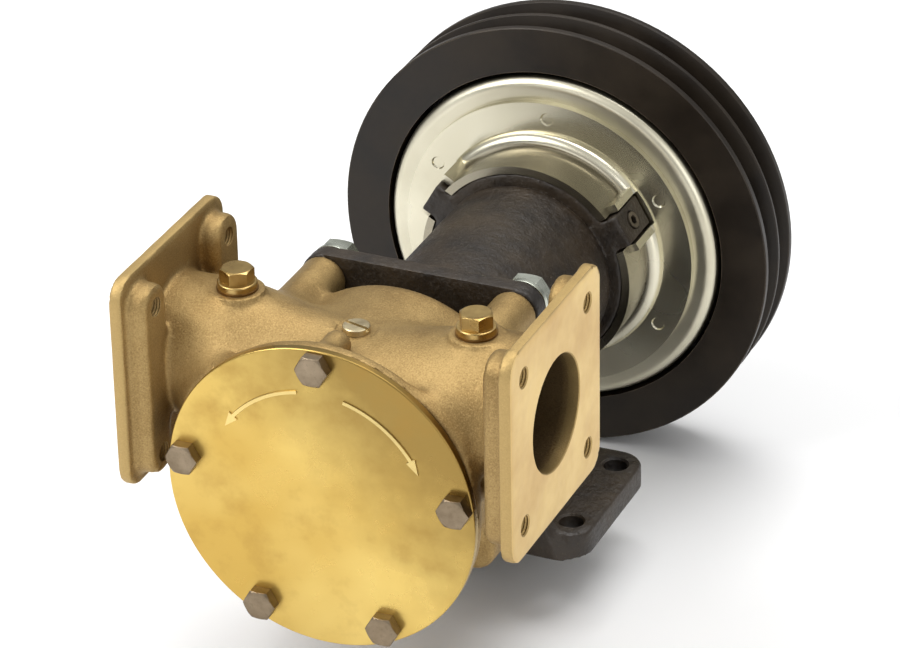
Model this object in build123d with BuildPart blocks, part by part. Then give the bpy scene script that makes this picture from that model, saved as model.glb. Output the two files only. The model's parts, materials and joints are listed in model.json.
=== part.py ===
from build123d import *
from math import cos, radians, sin, sqrt, tan
import os

# A self-priming flexible-impeller pump on a cast bearing pedestal, driven through an
# electromagnetic clutch whose rotor is a pulley for two V belts.
#
# Frame: +X runs through the two ports, +Y along the shaft from the end cover to the pulley,
# +Z is up. The origin is on the underside of the foot, in the middle of its four bolt holes.
# A "station" is a distance behind the outer face of the end cover, and a "height" is measured
# from the shaft axis.

# Driving dimensions, in millimetres
SHAFT_HEIGHT = 76.0         # shaft axis above the underside of the foot
COVER_FACE_Y = -148.5       # outer face of the end cover

COVER_RADIUS = 70.0
COVER_THICKNESS = 4.0
GASKET_THICKNESS = 0.3
COVER_BOLT_CIRCLE = 62.4
COVER_BOLT_ANGLES = (90.0, 172.5, 243.0, 297.0, 8.0)

CHAMBER_RADIUS = 48.2
CHAMBER_END = 70.0          # station of the chamber's rear wall
BODY_RADIUS = 58.7
BODY_END = 85.0             # station of the body's rear face
BODY_FLANGE_RADIUS = 69.0
BODY_FLANGE_END = 9.8
BODY_ROOT = 8.0             # length of the slope from the flange to the barrel

PORT_STATION = 40.7
PORT_HEIGHT = 38.2
PORT_FACE_X = 89.85
PORT_BORE_RADIUS = 25.4
PORT_FLANGE_WIDTH = 97.8
PORT_FLANGE_THICKNESS = 5.4
PORT_FLANGE_CORNER = 10.0
PORT_HOLE_SPACING = 69.0
PORT_HOLE_RADIUS = 4.2
NECK_RADIUS = 30.5          # where the neck meets the flange
NECK_MIDDLE_RADIUS = 21.5   # inside the body, half way between the ports
NECK_MIDDLE_DROP = 1.0

MOUNT_BOLT_X = 44.4         # the four bolts that join body and pedestal
MOUNT_BOLT_HEIGHT = 44.6
MOUNT_BOSS_RADIUS = 10.6

PLATE_START = 103.6         # front plate of the pedestal
PLATE_THICKNESS = 9.7
TUBE_RADIUS = 42.5
TUBE_END = 221.5
SHOULDER_RADIUS = 47.2      # the ring on which the stator collar sits
SHOULDER_END = 250.0
FOOT_THICKNESS = 12.0
FOOT_HALF_WIDTH = 74.0
FOOT_HALF_LENGTH = 40.0
FOOT_HOLE_X = 63.0
FOOT_HOLE_Y = 26.5
FOOT_HOLE_RADIUS = 5.5

LUG_ANGLES = (30.0, 150.0, 270.0)
LUG_WIDTH = 15.0
LUG_FLAT = 54.9             # shaft axis to the outer flat of a lug
LUG_START = 222.8

COLLAR_START = 222.8
COLLAR_RADIUS = 51.0
STATOR_FACE = 250.0         # front face of the stator plate
STATOR_PLATE_RADIUS = 70.7
STATOR_SHEET = 3.5
COIL_SHELL_RADIUS = 81.2
COIL_SHELL_END = 281.0
COIL_SHELL_BORE = 56.0

PULLEY_RADIUS = 104.6
PULLEY_BORE_RADIUS = 83.0
PULLEY_START = 256.2
PULLEY_WIDTH = 35.0
GROOVE_PITCH = 15.0
GROOVE_TOP_WIDTH = 13.0
GROOVE_DEPTH = 11.5
GROOVE_ANGLE = 36.0
ROTOR_FACE = 290.6          # friction face, just inside the pulley's rear rim
ROTOR_WEB = 7.0
ROTOR_HUB_RADIUS = 53.8

AIR_GAP = 0.6               # armature to rotor with the clutch released
ARMATURE_RADIUS = 81.0
ARMATURE_BORE = 50.0
ARMATURE_THICKNESS = 6.0

SHAFT_RADIUS = 12.5         # at the bearings
SHAFT_END_RADIUS = 10.0     # at the impeller, at the seals and under the clutch hub
BEARING_OUTER = 26.0
BEARING_WIDTH = 15.0
FRONT_BEARING = 114.0       # stations of the two shaft bearings
REAR_BEARING = 264.0
NOSE_RADIUS = 30.0
NOSE_END = 284.0
PULLEY_BEARING = 257.0
PULLEY_BEARING_WIDTH = 24.0
PULLEY_BEARING_OUTER = 47.5

FIT = 0.05                  # radial running clearance
ASSEMBLY_GAP = 0.1          # radial gap round a screw or bolt


def section(station):
    """Plane across the shaft at a station: local x is +X, local y is +Z, normal to the front."""
    return Plane(origin=(0, COVER_FACE_Y + station, SHAFT_HEIGHT), x_dir=(1, 0, 0), z_dir=(0, -1, 0))


def across_ports(x):
    """Plane across the ports at x: local x is the station, local y the height."""
    return Plane(origin=(x, COVER_FACE_Y, SHAFT_HEIGHT), x_dir=(0, 1, 0), z_dir=(1, 0, 0))


def level(height):
    """Horizontal plane at a height above the shaft: local x is +X, local y the station."""
    return Plane(origin=(0, COVER_FACE_Y, SHAFT_HEIGHT + height), x_dir=(1, 0, 0), z_dir=(0, 0, 1))


def polar(radius, angle):
    """Point of a cross-section at a radius and an angle counted from +X towards +Z."""
    return (radius * cos(radians(angle)), radius * sin(radians(angle)))


def radial_plane(station, angle, radius):
    """Plane facing away from the shaft, at a station, an angle from +X towards +Z and a radius."""
    centre = section(station)
    outward = centre.x_dir * cos(radians(angle)) + centre.y_dir * sin(radians(angle))
    return Plane(origin=centre.origin + outward * radius, x_dir=(0, 1, 0), z_dir=outward)


def turn(*corners, mode=Mode.ADD):
    """Turn a closed outline of (station, radius) corners about the shaft."""
    with BuildSketch(across_ports(0)) as outline:
        with BuildLine():
            Polyline(*corners, close=True)
        make_face()
    revolve(outline.sketch, axis=SHAFT_AXIS, mode=mode)


def ring(start, end, inner, outer, mode=Mode.ADD):
    """Turn a plain ring between two stations and two radii; an inner radius of 0 makes a disc."""
    turn((start, inner), (start, outer), (end, outer), (end, inner), mode=mode)


def race(station, pitch_radius, ball_radius):
    """Cut a ball groove round the shaft."""
    with BuildSketch(across_ports(0)) as groove:
        with Locations((station, pitch_radius)):
            Circle(ball_radius + FIT)
    revolve(groove.sketch, axis=SHAFT_AXIS, mode=Mode.SUBTRACT)


def pins(points, radius, start, end, mode=Mode.ADD):
    """Round pins, or holes, along the shaft direction between two stations."""
    with BuildSketch(section(end)) as circles:
        with Locations(*points):
            Circle(radius)
    extrude(circles.sketch, amount=end - start, mode=mode)


def hex_heads(plane, points, across_flats, height, hex_turn=0):
    """Hexagon heads with rounded-off corners, standing on a plane and turned by an angle."""
    corner_radius = across_flats / sqrt(3)
    crown = corner_radius - 0.95 * across_flats / 2
    with BuildPart() as heads:
        with BuildSketch(plane):
            with Locations(*points):
                Circle(corner_radius)
        extrude(amount=height)
        top_edges = heads.edges().group_by(Axis(plane.origin, plane.z_dir))[-1]
        chamfer(top_edges, length=crown * tan(radians(30)), length2=crown)
        with BuildSketch(plane) as hexagons:
            with Locations(*points):
                RegularPolygon(across_flats / 2, 6, major_radius=False, rotation=hex_turn)
        extrude(hexagons.sketch, amount=height, mode=Mode.INTERSECT)
    return heads.part


def save(piece, name):
    """Label a finished piece and write it as its own STEP file."""
    piece.part.label = name
    export_step(piece.part, f"parts/{name}.step")


SHAFT_AXIS = Axis((0, COVER_FACE_Y, SHAFT_HEIGHT), (0, 1, 0))
COVER_BOLTS = [polar(COVER_BOLT_CIRCLE, angle) for angle in COVER_BOLT_ANGLES]
MOUNT_BOLTS = [
    (x, height)
    for x in (-MOUNT_BOLT_X, MOUNT_BOLT_X)
    for height in (-MOUNT_BOLT_HEIGHT, MOUNT_BOLT_HEIGHT)
]

os.makedirs("parts", exist_ok=True)

# ---------------------------------------------------------------- pump body
RIB_DEPTH = 9.3             # behind the flange plate
RIB_WIDTH = 20.4
RIB_HEIGHT = 88.0
COVER_BOSS_RADIUS = 6.4
COVER_BOSS_END = 26.0
COVER_SCREW_RADIUS = 4.0
COVER_SCREW_DEPTH = 20.0
PASSAGE_INNER_X = 24.0
PASSAGE_INNER_RADIUS = 16.0
PASSAGE_STRAIGHT_X = 60.0
PASSAGE_DROP = 4.0          # the passage dips towards the chamber
PLUG_X = 54.5
PLUG_SEAT_HEIGHT = 68.9
PLUG_BOSS_RADIUS = 11.6
PLUG_BOSS_DEPTH = 8.0
PLUG_HOLE_DEPTH = 12.0
PLUG_THREAD_RADIUS = 5.0
CAM_SCREW_RADIUS = 3.0
CAM_SCREW_SEAT = 59.2
CAM_PAD_RADIUS = 7.5
CAM_PAD_DEPTH = 6.0
CAM_HOLE_DEPTH = 20.0
CAM_SPOT_FACE = 4.0
SEAL_POCKET_RADIUS = 18.0
SEAL_POCKET_END = 82.0
SEAL_BOSS_RADIUS = 22.0
SEAL_BOSS_END = 93.0
SHAFT_ROOM = 1.0            # radial room round the shaft where nothing seals
LIP_SEAL_START = 86.0
LIP_SEAL_RADIUS = 16.0
MOUNT_SCREW_RADIUS = 6.0
MOUNT_SCREW_START = 84.0
MOUNT_BOSS_START = 52.7
BODY_START = COVER_THICKNESS + GASKET_THICKNESS

with BuildPart() as pump_body:
    turn(
        (BODY_START, 0),
        (BODY_START, BODY_FLANGE_RADIUS),
        (BODY_FLANGE_END, BODY_FLANGE_RADIUS),
        (BODY_FLANGE_END + BODY_ROOT / 3, BODY_RADIUS + 1),
        (BODY_FLANGE_END + BODY_ROOT, BODY_RADIUS),
        (BODY_END, BODY_RADIUS),
        (BODY_END, SEAL_BOSS_RADIUS),
        (SEAL_BOSS_END, SEAL_BOSS_RADIUS),
        (SEAL_BOSS_END, 0),
    )
    pins(COVER_BOLTS, COVER_BOSS_RADIUS, BODY_START, COVER_BOSS_END)
    # necks: a straight pipe at the flange that narrows towards the middle of the body
    for side in (-1, 1):
        with BuildSketch(across_ports(0)) as middle:
            with Locations((PORT_STATION, PORT_HEIGHT - NECK_MIDDLE_DROP)):
                Circle(NECK_MIDDLE_RADIUS)
        with BuildSketch(across_ports(side * PLUG_X)) as shoulder:
            with Locations((PORT_STATION, PORT_HEIGHT)):
                Circle(NECK_RADIUS)
        loft([middle.sketch, shoulder.sketch])
        with BuildSketch(across_ports(side * PLUG_X)) as pipe:
            with Locations((PORT_STATION, PORT_HEIGHT)):
                Circle(NECK_RADIUS)
        extrude(pipe.sketch, amount=side * (PORT_FACE_X - PLUG_X))
    pins(MOUNT_BOLTS, MOUNT_BOSS_RADIUS, MOUNT_BOSS_START, PLATE_START)
    # plug bosses on the necks and the pad under the cam screw
    with BuildSketch(level(PLUG_SEAT_HEIGHT)) as plug_bosses:
        with Locations((-PLUG_X, PORT_STATION), (PLUG_X, PORT_STATION)):
            Circle(PLUG_BOSS_RADIUS)
    extrude(plug_bosses.sketch, amount=-PLUG_BOSS_DEPTH, taper=-12)
    with BuildSketch(level(CAM_SCREW_SEAT)) as cam_pad:
        with Locations((0, PORT_STATION)):
            Circle(CAM_PAD_RADIUS)
    extrude(cam_pad.sketch, amount=-CAM_PAD_DEPTH, taper=-20)
    # square port flanges with a pad for two holes along the front and rear edges
    for side in (-1, 1):
        with BuildSketch(across_ports(side * PORT_FACE_X)) as flange:
            with Locations((PORT_STATION, PORT_HEIGHT)):
                RectangleRounded(PORT_FLANGE_WIDTH, PORT_FLANGE_WIDTH, PORT_FLANGE_CORNER)
        extrude(flange.sketch, amount=-side * PORT_FLANGE_THICKNESS)
        with BuildSketch(across_ports(side * (PORT_FACE_X - PORT_FLANGE_THICKNESS))) as pads:
            with Locations((PORT_STATION, PORT_HEIGHT)):
                with GridLocations(PORT_HOLE_SPACING, 0, 2, 1):
                    RectangleRounded(RIB_WIDTH, RIB_HEIGHT, RIB_WIDTH / 2 - 0.5)
        extrude(pads.sketch, amount=-side * RIB_DEPTH)
    # chamber, port passages and seal pocket
    ring(BODY_START, CHAMBER_END, 0, CHAMBER_RADIUS, mode=Mode.SUBTRACT)
    for side in (-1, 1):
        with BuildSketch(across_ports(side * PORT_FACE_X)) as port:
            with Locations((PORT_STATION, PORT_HEIGHT)):
                Circle(PORT_BORE_RADIUS)
        extrude(port.sketch, amount=side * (PASSAGE_STRAIGHT_X - PORT_FACE_X), mode=Mode.SUBTRACT)
        with BuildSketch(across_ports(side * PASSAGE_STRAIGHT_X)) as passage_mouth:
            with Locations((PORT_STATION, PORT_HEIGHT)):
                Circle(PORT_BORE_RADIUS)
        with BuildSketch(across_ports(side * PASSAGE_INNER_X)) as passage_end:
            with Locations((PORT_STATION, PORT_HEIGHT - PASSAGE_DROP)):
                Circle(PASSAGE_INNER_RADIUS)
        loft([passage_mouth.sketch, passage_end.sketch], mode=Mode.SUBTRACT)
        with BuildSketch(across_ports(side * PORT_FACE_X)) as port_holes:
            with Locations((PORT_STATION, PORT_HEIGHT)):
                with GridLocations(PORT_HOLE_SPACING, PORT_HOLE_SPACING, 2, 2):
                    Circle(PORT_HOLE_RADIUS)
        extrude(port_holes.sketch, amount=-side * (PORT_FLANGE_THICKNESS + RIB_DEPTH), mode=Mode.SUBTRACT)
    ring(CHAMBER_END, SEAL_POCKET_END, 0, SEAL_POCKET_RADIUS, mode=Mode.SUBTRACT)
    ring(SEAL_POCKET_END, SEAL_BOSS_END, 0, SHAFT_END_RADIUS + SHAFT_ROOM, mode=Mode.SUBTRACT)
    ring(LIP_SEAL_START, SEAL_BOSS_END, 0, LIP_SEAL_RADIUS, mode=Mode.SUBTRACT)
    # screw holes
    pins(COVER_BOLTS, COVER_SCREW_RADIUS, BODY_START, COVER_SCREW_DEPTH, mode=Mode.SUBTRACT)
    pins(MOUNT_BOLTS, MOUNT_SCREW_RADIUS, MOUNT_SCREW_START, PLATE_START, mode=Mode.SUBTRACT)
    with BuildSketch(level(PLUG_SEAT_HEIGHT)) as plug_holes:
        with Locations((-PLUG_X, PORT_STATION), (PLUG_X, PORT_STATION)):
            Circle(PLUG_THREAD_RADIUS)
    extrude(plug_holes.sketch, amount=-PLUG_HOLE_DEPTH, mode=Mode.SUBTRACT)
    with BuildSketch(level(CAM_SCREW_SEAT)) as spot_face:
        with Locations((0, PORT_STATION)):
            Circle(CAM_PAD_RADIUS)
    extrude(spot_face.sketch, amount=CAM_SPOT_FACE, mode=Mode.SUBTRACT)
    with BuildSketch(level(CAM_SCREW_SEAT)) as cam_hole:
        with Locations((0, PORT_STATION)):
            Circle(CAM_SCREW_RADIUS)
    extrude(cam_hole.sketch, amount=-CAM_HOLE_DEPTH, mode=Mode.SUBTRACT)
save(pump_body, "pump_body")

# ---------------------------------------------------------------- end cover and its bolts
COVER_CLEARANCE_RADIUS = 4.3
GASKET_BORE_RADIUS = CHAMBER_RADIUS + 1
COVER_BOLT_FLATS = 13.0
COVER_BOLT_HEAD = 5.3
ARROW_RADIUS = 50.0
ARROW_RELIEF = 0.7
ARROW_WIDTH = 1.7
ARROW_SPANS = ((33.0, 76.0), (100.0, 140.0))
ARROW_HEAD_LENGTH = 7.0
ARROW_HEAD_HALF_WIDTH = 2.4
COVER_CHAMFER = 0.5
COVER_BOLT_END_ROOM = 2.0


with BuildPart() as end_cover:
    ring(0, COVER_THICKNESS, 0, COVER_RADIUS)
    chamfer(end_cover.edges().filter_by(GeomType.CIRCLE), length=COVER_CHAMFER)
    # double-ended rotation arrow, raised on the face
    with BuildSketch(section(0)) as arrow:
        for start_angle, end_angle in ARROW_SPANS:
            with BuildLine():
                CenterArc((0, 0), ARROW_RADIUS - ARROW_WIDTH / 2, start_angle, end_angle - start_angle)
                CenterArc((0, 0), ARROW_RADIUS + ARROW_WIDTH / 2, start_angle, end_angle - start_angle)
                for angle in (start_angle, end_angle):
                    Line(
                        polar(ARROW_RADIUS - ARROW_WIDTH / 2, angle),
                        polar(ARROW_RADIUS + ARROW_WIDTH / 2, angle),
                    )
            make_face()
    extrude(arrow.sketch, amount=ARROW_RELIEF)
    head_angle = ARROW_HEAD_LENGTH / radians(ARROW_RADIUS)
    for base, tip in ((ARROW_SPANS[0][0], ARROW_SPANS[0][0] - head_angle),
                      (ARROW_SPANS[1][1], ARROW_SPANS[1][1] + head_angle)):
        with BuildSketch(section(0)) as arrow_tip:
            with BuildLine():
                Polyline(
                    polar(ARROW_RADIUS, tip),
                    polar(ARROW_RADIUS - ARROW_HEAD_HALF_WIDTH, base),
                    polar(ARROW_RADIUS + ARROW_HEAD_HALF_WIDTH, base),
                    close=True,
                )
            make_face()
        extrude(arrow_tip.sketch, amount=ARROW_RELIEF)
    pins(COVER_BOLTS, COVER_CLEARANCE_RADIUS, 0, COVER_THICKNESS, mode=Mode.SUBTRACT)
save(end_cover, "end_cover")

with BuildPart() as cover_gasket:
    ring(COVER_THICKNESS, BODY_START, GASKET_BORE_RADIUS, BODY_FLANGE_RADIUS)
    pins(COVER_BOLTS, COVER_CLEARANCE_RADIUS, COVER_THICKNESS, BODY_START, mode=Mode.SUBTRACT)
save(cover_gasket, "cover_gasket")

cover_bolt_heads = hex_heads(section(0), COVER_BOLTS, COVER_BOLT_FLATS, COVER_BOLT_HEAD)
with BuildPart() as cover_bolts:
    add(cover_bolt_heads)
    pins(COVER_BOLTS, COVER_SCREW_RADIUS - ASSEMBLY_GAP, 0, COVER_SCREW_DEPTH - COVER_BOLT_END_ROOM)
save(cover_bolts, "cover_bolts")

# ---------------------------------------------------------------- cam, wear plate, cam screw
CAM_LIFT = 6.0              # how far the cam squeezes the vanes at its middle
CAM_HALF_WIDTH = 22.0
CAM_SCREW_HEAD_RADIUS = 5.9
CAM_SCREW_HEAD = 2.8
WEAR_PLATE_THICKNESS = 1.5
WEAR_PLATE_START = CHAMBER_END - WEAR_PLATE_THICKNESS
CAM_TAP_DEPTH = 4.0
CAM_TAP_GAP = 0.5
DRIVER_SLOT = 1.6           # width and depth
DRIVER_SLOT_ANGLE = -15.0
SMALL_CHAMFER = 0.4

with BuildPart() as cam:
    with BuildSketch(section(WEAR_PLATE_START)) as crescent:
        Circle(CHAMBER_RADIUS)
        with Locations((0, -CAM_LIFT)):
            Circle(CHAMBER_RADIUS, mode=Mode.SUBTRACT)
        with Locations((0, CHAMBER_RADIUS)):
            Rectangle(2 * CAM_HALF_WIDTH, CHAMBER_RADIUS, mode=Mode.INTERSECT)
    extrude(crescent.sketch, amount=WEAR_PLATE_START - BODY_START)
    with BuildSketch(level(CHAMBER_RADIUS)) as cam_tap:
        with Locations((0, PORT_STATION)):
            Circle(CAM_SCREW_RADIUS)
    extrude(cam_tap.sketch, amount=-CAM_TAP_DEPTH, mode=Mode.SUBTRACT)
save(cam, "cam")

with BuildPart() as wear_plate:
    ring(WEAR_PLATE_START, CHAMBER_END, SEAL_POCKET_RADIUS, CHAMBER_RADIUS)
save(wear_plate, "wear_plate")

with BuildPart() as cam_screw:
    with BuildSketch(level(CAM_SCREW_SEAT)) as cheese_head:
        with Locations((0, PORT_STATION)):
            Circle(CAM_SCREW_HEAD_RADIUS)
    extrude(cheese_head.sketch, amount=CAM_SCREW_HEAD)
    chamfer(cam_screw.edges().group_by(Axis.Z)[-1], length=SMALL_CHAMFER)
    with BuildSketch(level(CAM_SCREW_SEAT)) as cam_screw_shank:
        with Locations((0, PORT_STATION)):
            Circle(CAM_SCREW_RADIUS - ASSEMBLY_GAP)
    extrude(cam_screw_shank.sketch, amount=-(CAM_SCREW_SEAT - CHAMBER_RADIUS + CAM_TAP_DEPTH - CAM_TAP_GAP))
    with BuildSketch(level(CAM_SCREW_SEAT + CAM_SCREW_HEAD)) as driver_slot:
        with Locations((0, PORT_STATION)):
            Rectangle(3 * CAM_SCREW_HEAD_RADIUS, DRIVER_SLOT, rotation=DRIVER_SLOT_ANGLE)
    extrude(driver_slot.sketch, amount=-DRIVER_SLOT, mode=Mode.SUBTRACT)
save(cam_screw, "cam_screw")

# ---------------------------------------------------------------- priming plugs on the necks
PLUG_WASHER_THICKNESS = 1.0
PLUG_WASHER_RADIUS = 8.9
PLUG_COLLAR_RADIUS = 8.6
PLUG_COLLAR = 2.8
PLUG_COLLAR_ROUNDING = 0.8
PLUG_FLATS = 13.0
PLUG_HEX = 5.9
PLUG_THREAD_LENGTH = 7.0

for name, x, hex_turn in (("left", -PLUG_X, 30), ("right", PLUG_X, 0)):
    with BuildPart() as plug_washer:
        with BuildSketch(level(PLUG_SEAT_HEIGHT)):
            with Locations((x, PORT_STATION)):
                Circle(PLUG_WASHER_RADIUS)
                Circle(PLUG_THREAD_RADIUS, mode=Mode.SUBTRACT)
        extrude(amount=PLUG_WASHER_THICKNESS)
    save(plug_washer, f"plug_washer_{name}")

    collar_top = PLUG_SEAT_HEIGHT + PLUG_WASHER_THICKNESS + PLUG_COLLAR
    plug_hex = hex_heads(level(collar_top), [(x, PORT_STATION)], PLUG_FLATS, PLUG_HEX, hex_turn)
    with BuildPart() as priming_plug:
        with BuildSketch(level(PLUG_SEAT_HEIGHT + PLUG_WASHER_THICKNESS)) as plug_collar:
            with Locations((x, PORT_STATION)):
                Circle(PLUG_COLLAR_RADIUS)
        extrude(plug_collar.sketch, amount=PLUG_COLLAR)
        fillet(priming_plug.edges().group_by(Axis.Z)[-1], radius=PLUG_COLLAR_ROUNDING)
        with BuildSketch(level(PLUG_SEAT_HEIGHT + PLUG_WASHER_THICKNESS)) as plug_thread:
            with Locations((x, PORT_STATION)):
                Circle(PLUG_THREAD_RADIUS - ASSEMBLY_GAP)
        extrude(plug_thread.sketch, amount=-(PLUG_WASHER_THICKNESS + PLUG_THREAD_LENGTH))
        add(plug_hex)
    save(priming_plug, f"priming_plug_{name}")

# ---------------------------------------------------------------- impeller and shaft seals
VANE_COUNT = 10
VANE_THICKNESS = 4.4
VANE_BULB_RADIUS = 3.6
VANE_TIP_GAP = 0.4
BENT_VANE_GAP = 0.5
BENT_VANE_ANGLE = 14.0      # how far the cam bends the vane under it
IMPELLER_END_GAP = 0.3
IMPELLER_START = BODY_START + IMPELLER_END_GAP
IMPELLER_END = WEAR_PLATE_START - IMPELLER_END_GAP
IMPELLER_HUB_RADIUS = 20.0
IMPELLER_INSERT_RADIUS = 14.0
BENT_VANE_REACH = CHAMBER_RADIUS - CAM_LIFT - BENT_VANE_GAP
KEY_WIDTH = 5.0
KEY_HEIGHT = 2.2            # how far a key stands above the shaft
KEY_DEPTH = 2.8             # how deep it lies in the shaft


def vane_tip(number):
    """Angle and radius of the middle of a vane's bulb; the vane under the cam is bent back."""
    angle = 90 + number * 360 / VANE_COUNT
    if number == 0:
        return angle + BENT_VANE_ANGLE, BENT_VANE_REACH - VANE_BULB_RADIUS
    return angle, CHAMBER_RADIUS - VANE_BULB_RADIUS - VANE_TIP_GAP


with BuildPart() as impeller:
    with BuildSketch(section(IMPELLER_END)) as vane_section:
        Circle(IMPELLER_HUB_RADIUS)
        for number in range(VANE_COUNT):
            root = polar(IMPELLER_HUB_RADIUS - 2, 90 + number * 360 / VANE_COUNT)
            tip_angle, tip_radius = vane_tip(number)
            tip = polar(tip_radius, tip_angle)
            with BuildLine() as vane_line:
                Line(root, tip)
            trace(vane_line.line, VANE_THICKNESS)
            with Locations(tip):
                Circle(VANE_BULB_RADIUS)
        Circle(IMPELLER_INSERT_RADIUS, mode=Mode.SUBTRACT)
    extrude(vane_section.sketch, amount=IMPELLER_END - IMPELLER_START)
save(impeller, "impeller")


def keyway(plane_station, length, mode):
    """Parallel key, or its slot, on top of the shaft, ending at a station."""
    with BuildSketch(section(plane_station)) as key_section:
        with Locations((0, SHAFT_END_RADIUS - KEY_DEPTH)):
            Rectangle(KEY_WIDTH, KEY_DEPTH + KEY_HEIGHT, align=(Align.CENTER, Align.MIN))
    extrude(key_section.sketch, amount=length, mode=mode)


IMPELLER_KEY_END = 60.0
IMPELLER_KEY_LENGTH = 40.0
SHAFT_START = 14.0

with BuildPart() as impeller_insert:
    ring(IMPELLER_START, IMPELLER_END, SHAFT_END_RADIUS + FIT, IMPELLER_INSERT_RADIUS)
    keyway(IMPELLER_END, IMPELLER_END - IMPELLER_START, Mode.SUBTRACT)
save(impeller_insert, "impeller_insert")

with BuildPart() as impeller_key:
    keyway(IMPELLER_KEY_END, IMPELLER_KEY_LENGTH, Mode.ADD)
save(impeller_key, "impeller_key")

SEAL_SEAT_START = 76.5
SEAL_FACE_RADIUS = 15.0
SEAL_FACE_STEP = 1.5        # the running face is narrower than the seal head
SEAL_SEAT_CLEARANCE = 0.6
SEAL_END_GAP = 0.5

with BuildPart() as seal_seat:
    ring(SEAL_SEAT_START, SEAL_POCKET_END, SHAFT_END_RADIUS + SEAL_SEAT_CLEARANCE, SEAL_POCKET_RADIUS)
    chamfer(seal_seat.edges().group_by(Axis.Y)[0], length=SMALL_CHAMFER)
save(seal_seat, "seal_seat")

with BuildPart() as seal_head:
    turn(
        (CHAMBER_END + SEAL_END_GAP, SHAFT_END_RADIUS),
        (CHAMBER_END + SEAL_END_GAP, SEAL_FACE_RADIUS),
        (SEAL_SEAT_START - SEAL_FACE_STEP, SEAL_FACE_RADIUS),
        (SEAL_SEAT_START - SEAL_FACE_STEP, SEAL_FACE_RADIUS - SEAL_FACE_STEP),
        (SEAL_SEAT_START, SEAL_FACE_RADIUS - SEAL_FACE_STEP),
        (SEAL_SEAT_START, SHAFT_END_RADIUS),
    )
save(seal_head, "seal_head")

SEAL_SKIN = 1.5             # wall of a rubber seal's outer sleeve
SEAL_DISC = 2.0             # wall of its front disc
SEAL_LIP = 4.5              # how far back the lip reaches


def shaft_seal(start, length, shaft_radius, outer):
    """Section of a rubber lip seal, turned about the shaft."""
    turn(
        (start, shaft_radius + FIT),
        (start, outer),
        (start + length, outer),
        (start + length, outer - SEAL_SKIN),
        (start + SEAL_DISC, outer - SEAL_SKIN),
        (start + SEAL_LIP, shaft_radius + FIT),
    )


with BuildPart() as lip_seal:
    lip_seal_length = SEAL_BOSS_END - LIP_SEAL_START - SEAL_END_GAP
    shaft_seal(LIP_SEAL_START, lip_seal_length, SHAFT_END_RADIUS, LIP_SEAL_RADIUS)
save(lip_seal, "lip_seal")

SLINGER_START = 95.0
SLINGER_LENGTH = 5.0
SLINGER_RIM = 8.0           # how far the rim stands above the shaft

with BuildPart() as slinger:
    turn(
        (SLINGER_START, SHAFT_END_RADIUS),
        (SLINGER_START, SHAFT_END_RADIUS + SLINGER_RIM / 2),
        (SLINGER_START + 0.4 * SLINGER_LENGTH, SHAFT_END_RADIUS + SLINGER_RIM),
        (SLINGER_START + 0.7 * SLINGER_LENGTH, SHAFT_END_RADIUS + SLINGER_RIM),
        (SLINGER_START + SLINGER_LENGTH, SHAFT_END_RADIUS + SLINGER_RIM / 2),
        (SLINGER_START + SLINGER_LENGTH, SHAFT_END_RADIUS),
    )
save(slinger, "slinger")

# ---------------------------------------------------------------- bearing pedestal
PLATE_END = PLATE_START + PLATE_THICKNESS
EAR_RADIUS = 11.2
OIL_SEAL_START = 105.0
OIL_SEAL_WIDTH = 7.0
HOUSING_SHOULDER_RADIUS = 22.0
HOUSING_CAVITY_RADIUS = 25.0
NOSE_STEP_RADIUS = 34.0
CIRCLIP_THICKNESS = 1.5
CIRCLIP_DEPTH = 1.4
CIRCLIP_GAP = 8.0
WEB_WIDTH = 16.0
WEB_END = 190.0
WEB_OVERLAP = 4.0           # how deep the web runs into its neighbours
FOOT_CORNER = 12.0
FOOT_COLUMN_HALF_WIDTH = 50.0
MOUNT_CLEARANCE_RADIUS = 6.5
SET_SCREW_RADIUS = 4.0
SET_SCREW_LENGTH = 11.0
SET_SCREW_STATION = 236.0
SET_SCREW_PROUD = 0.6
SET_SCREW_SOCKET = 4.0      # across the flats, and deep
BEARING_STOP = 2.0
SHOULDER_START = TUBE_END + 1.0
SHOULDER_BEVEL = 3.0
GROOVE_STEP = 1.5           # groove between tube and shoulder
WEB_SLOPE = 14.0
LUG_ROOT = 8.0              # how deep a lug starts inside the shoulder
LUG_END = SHOULDER_END - 1.5
PLATE_EDGE_ROUNDING = 1.0
foot_height = -SHAFT_HEIGHT

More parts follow.
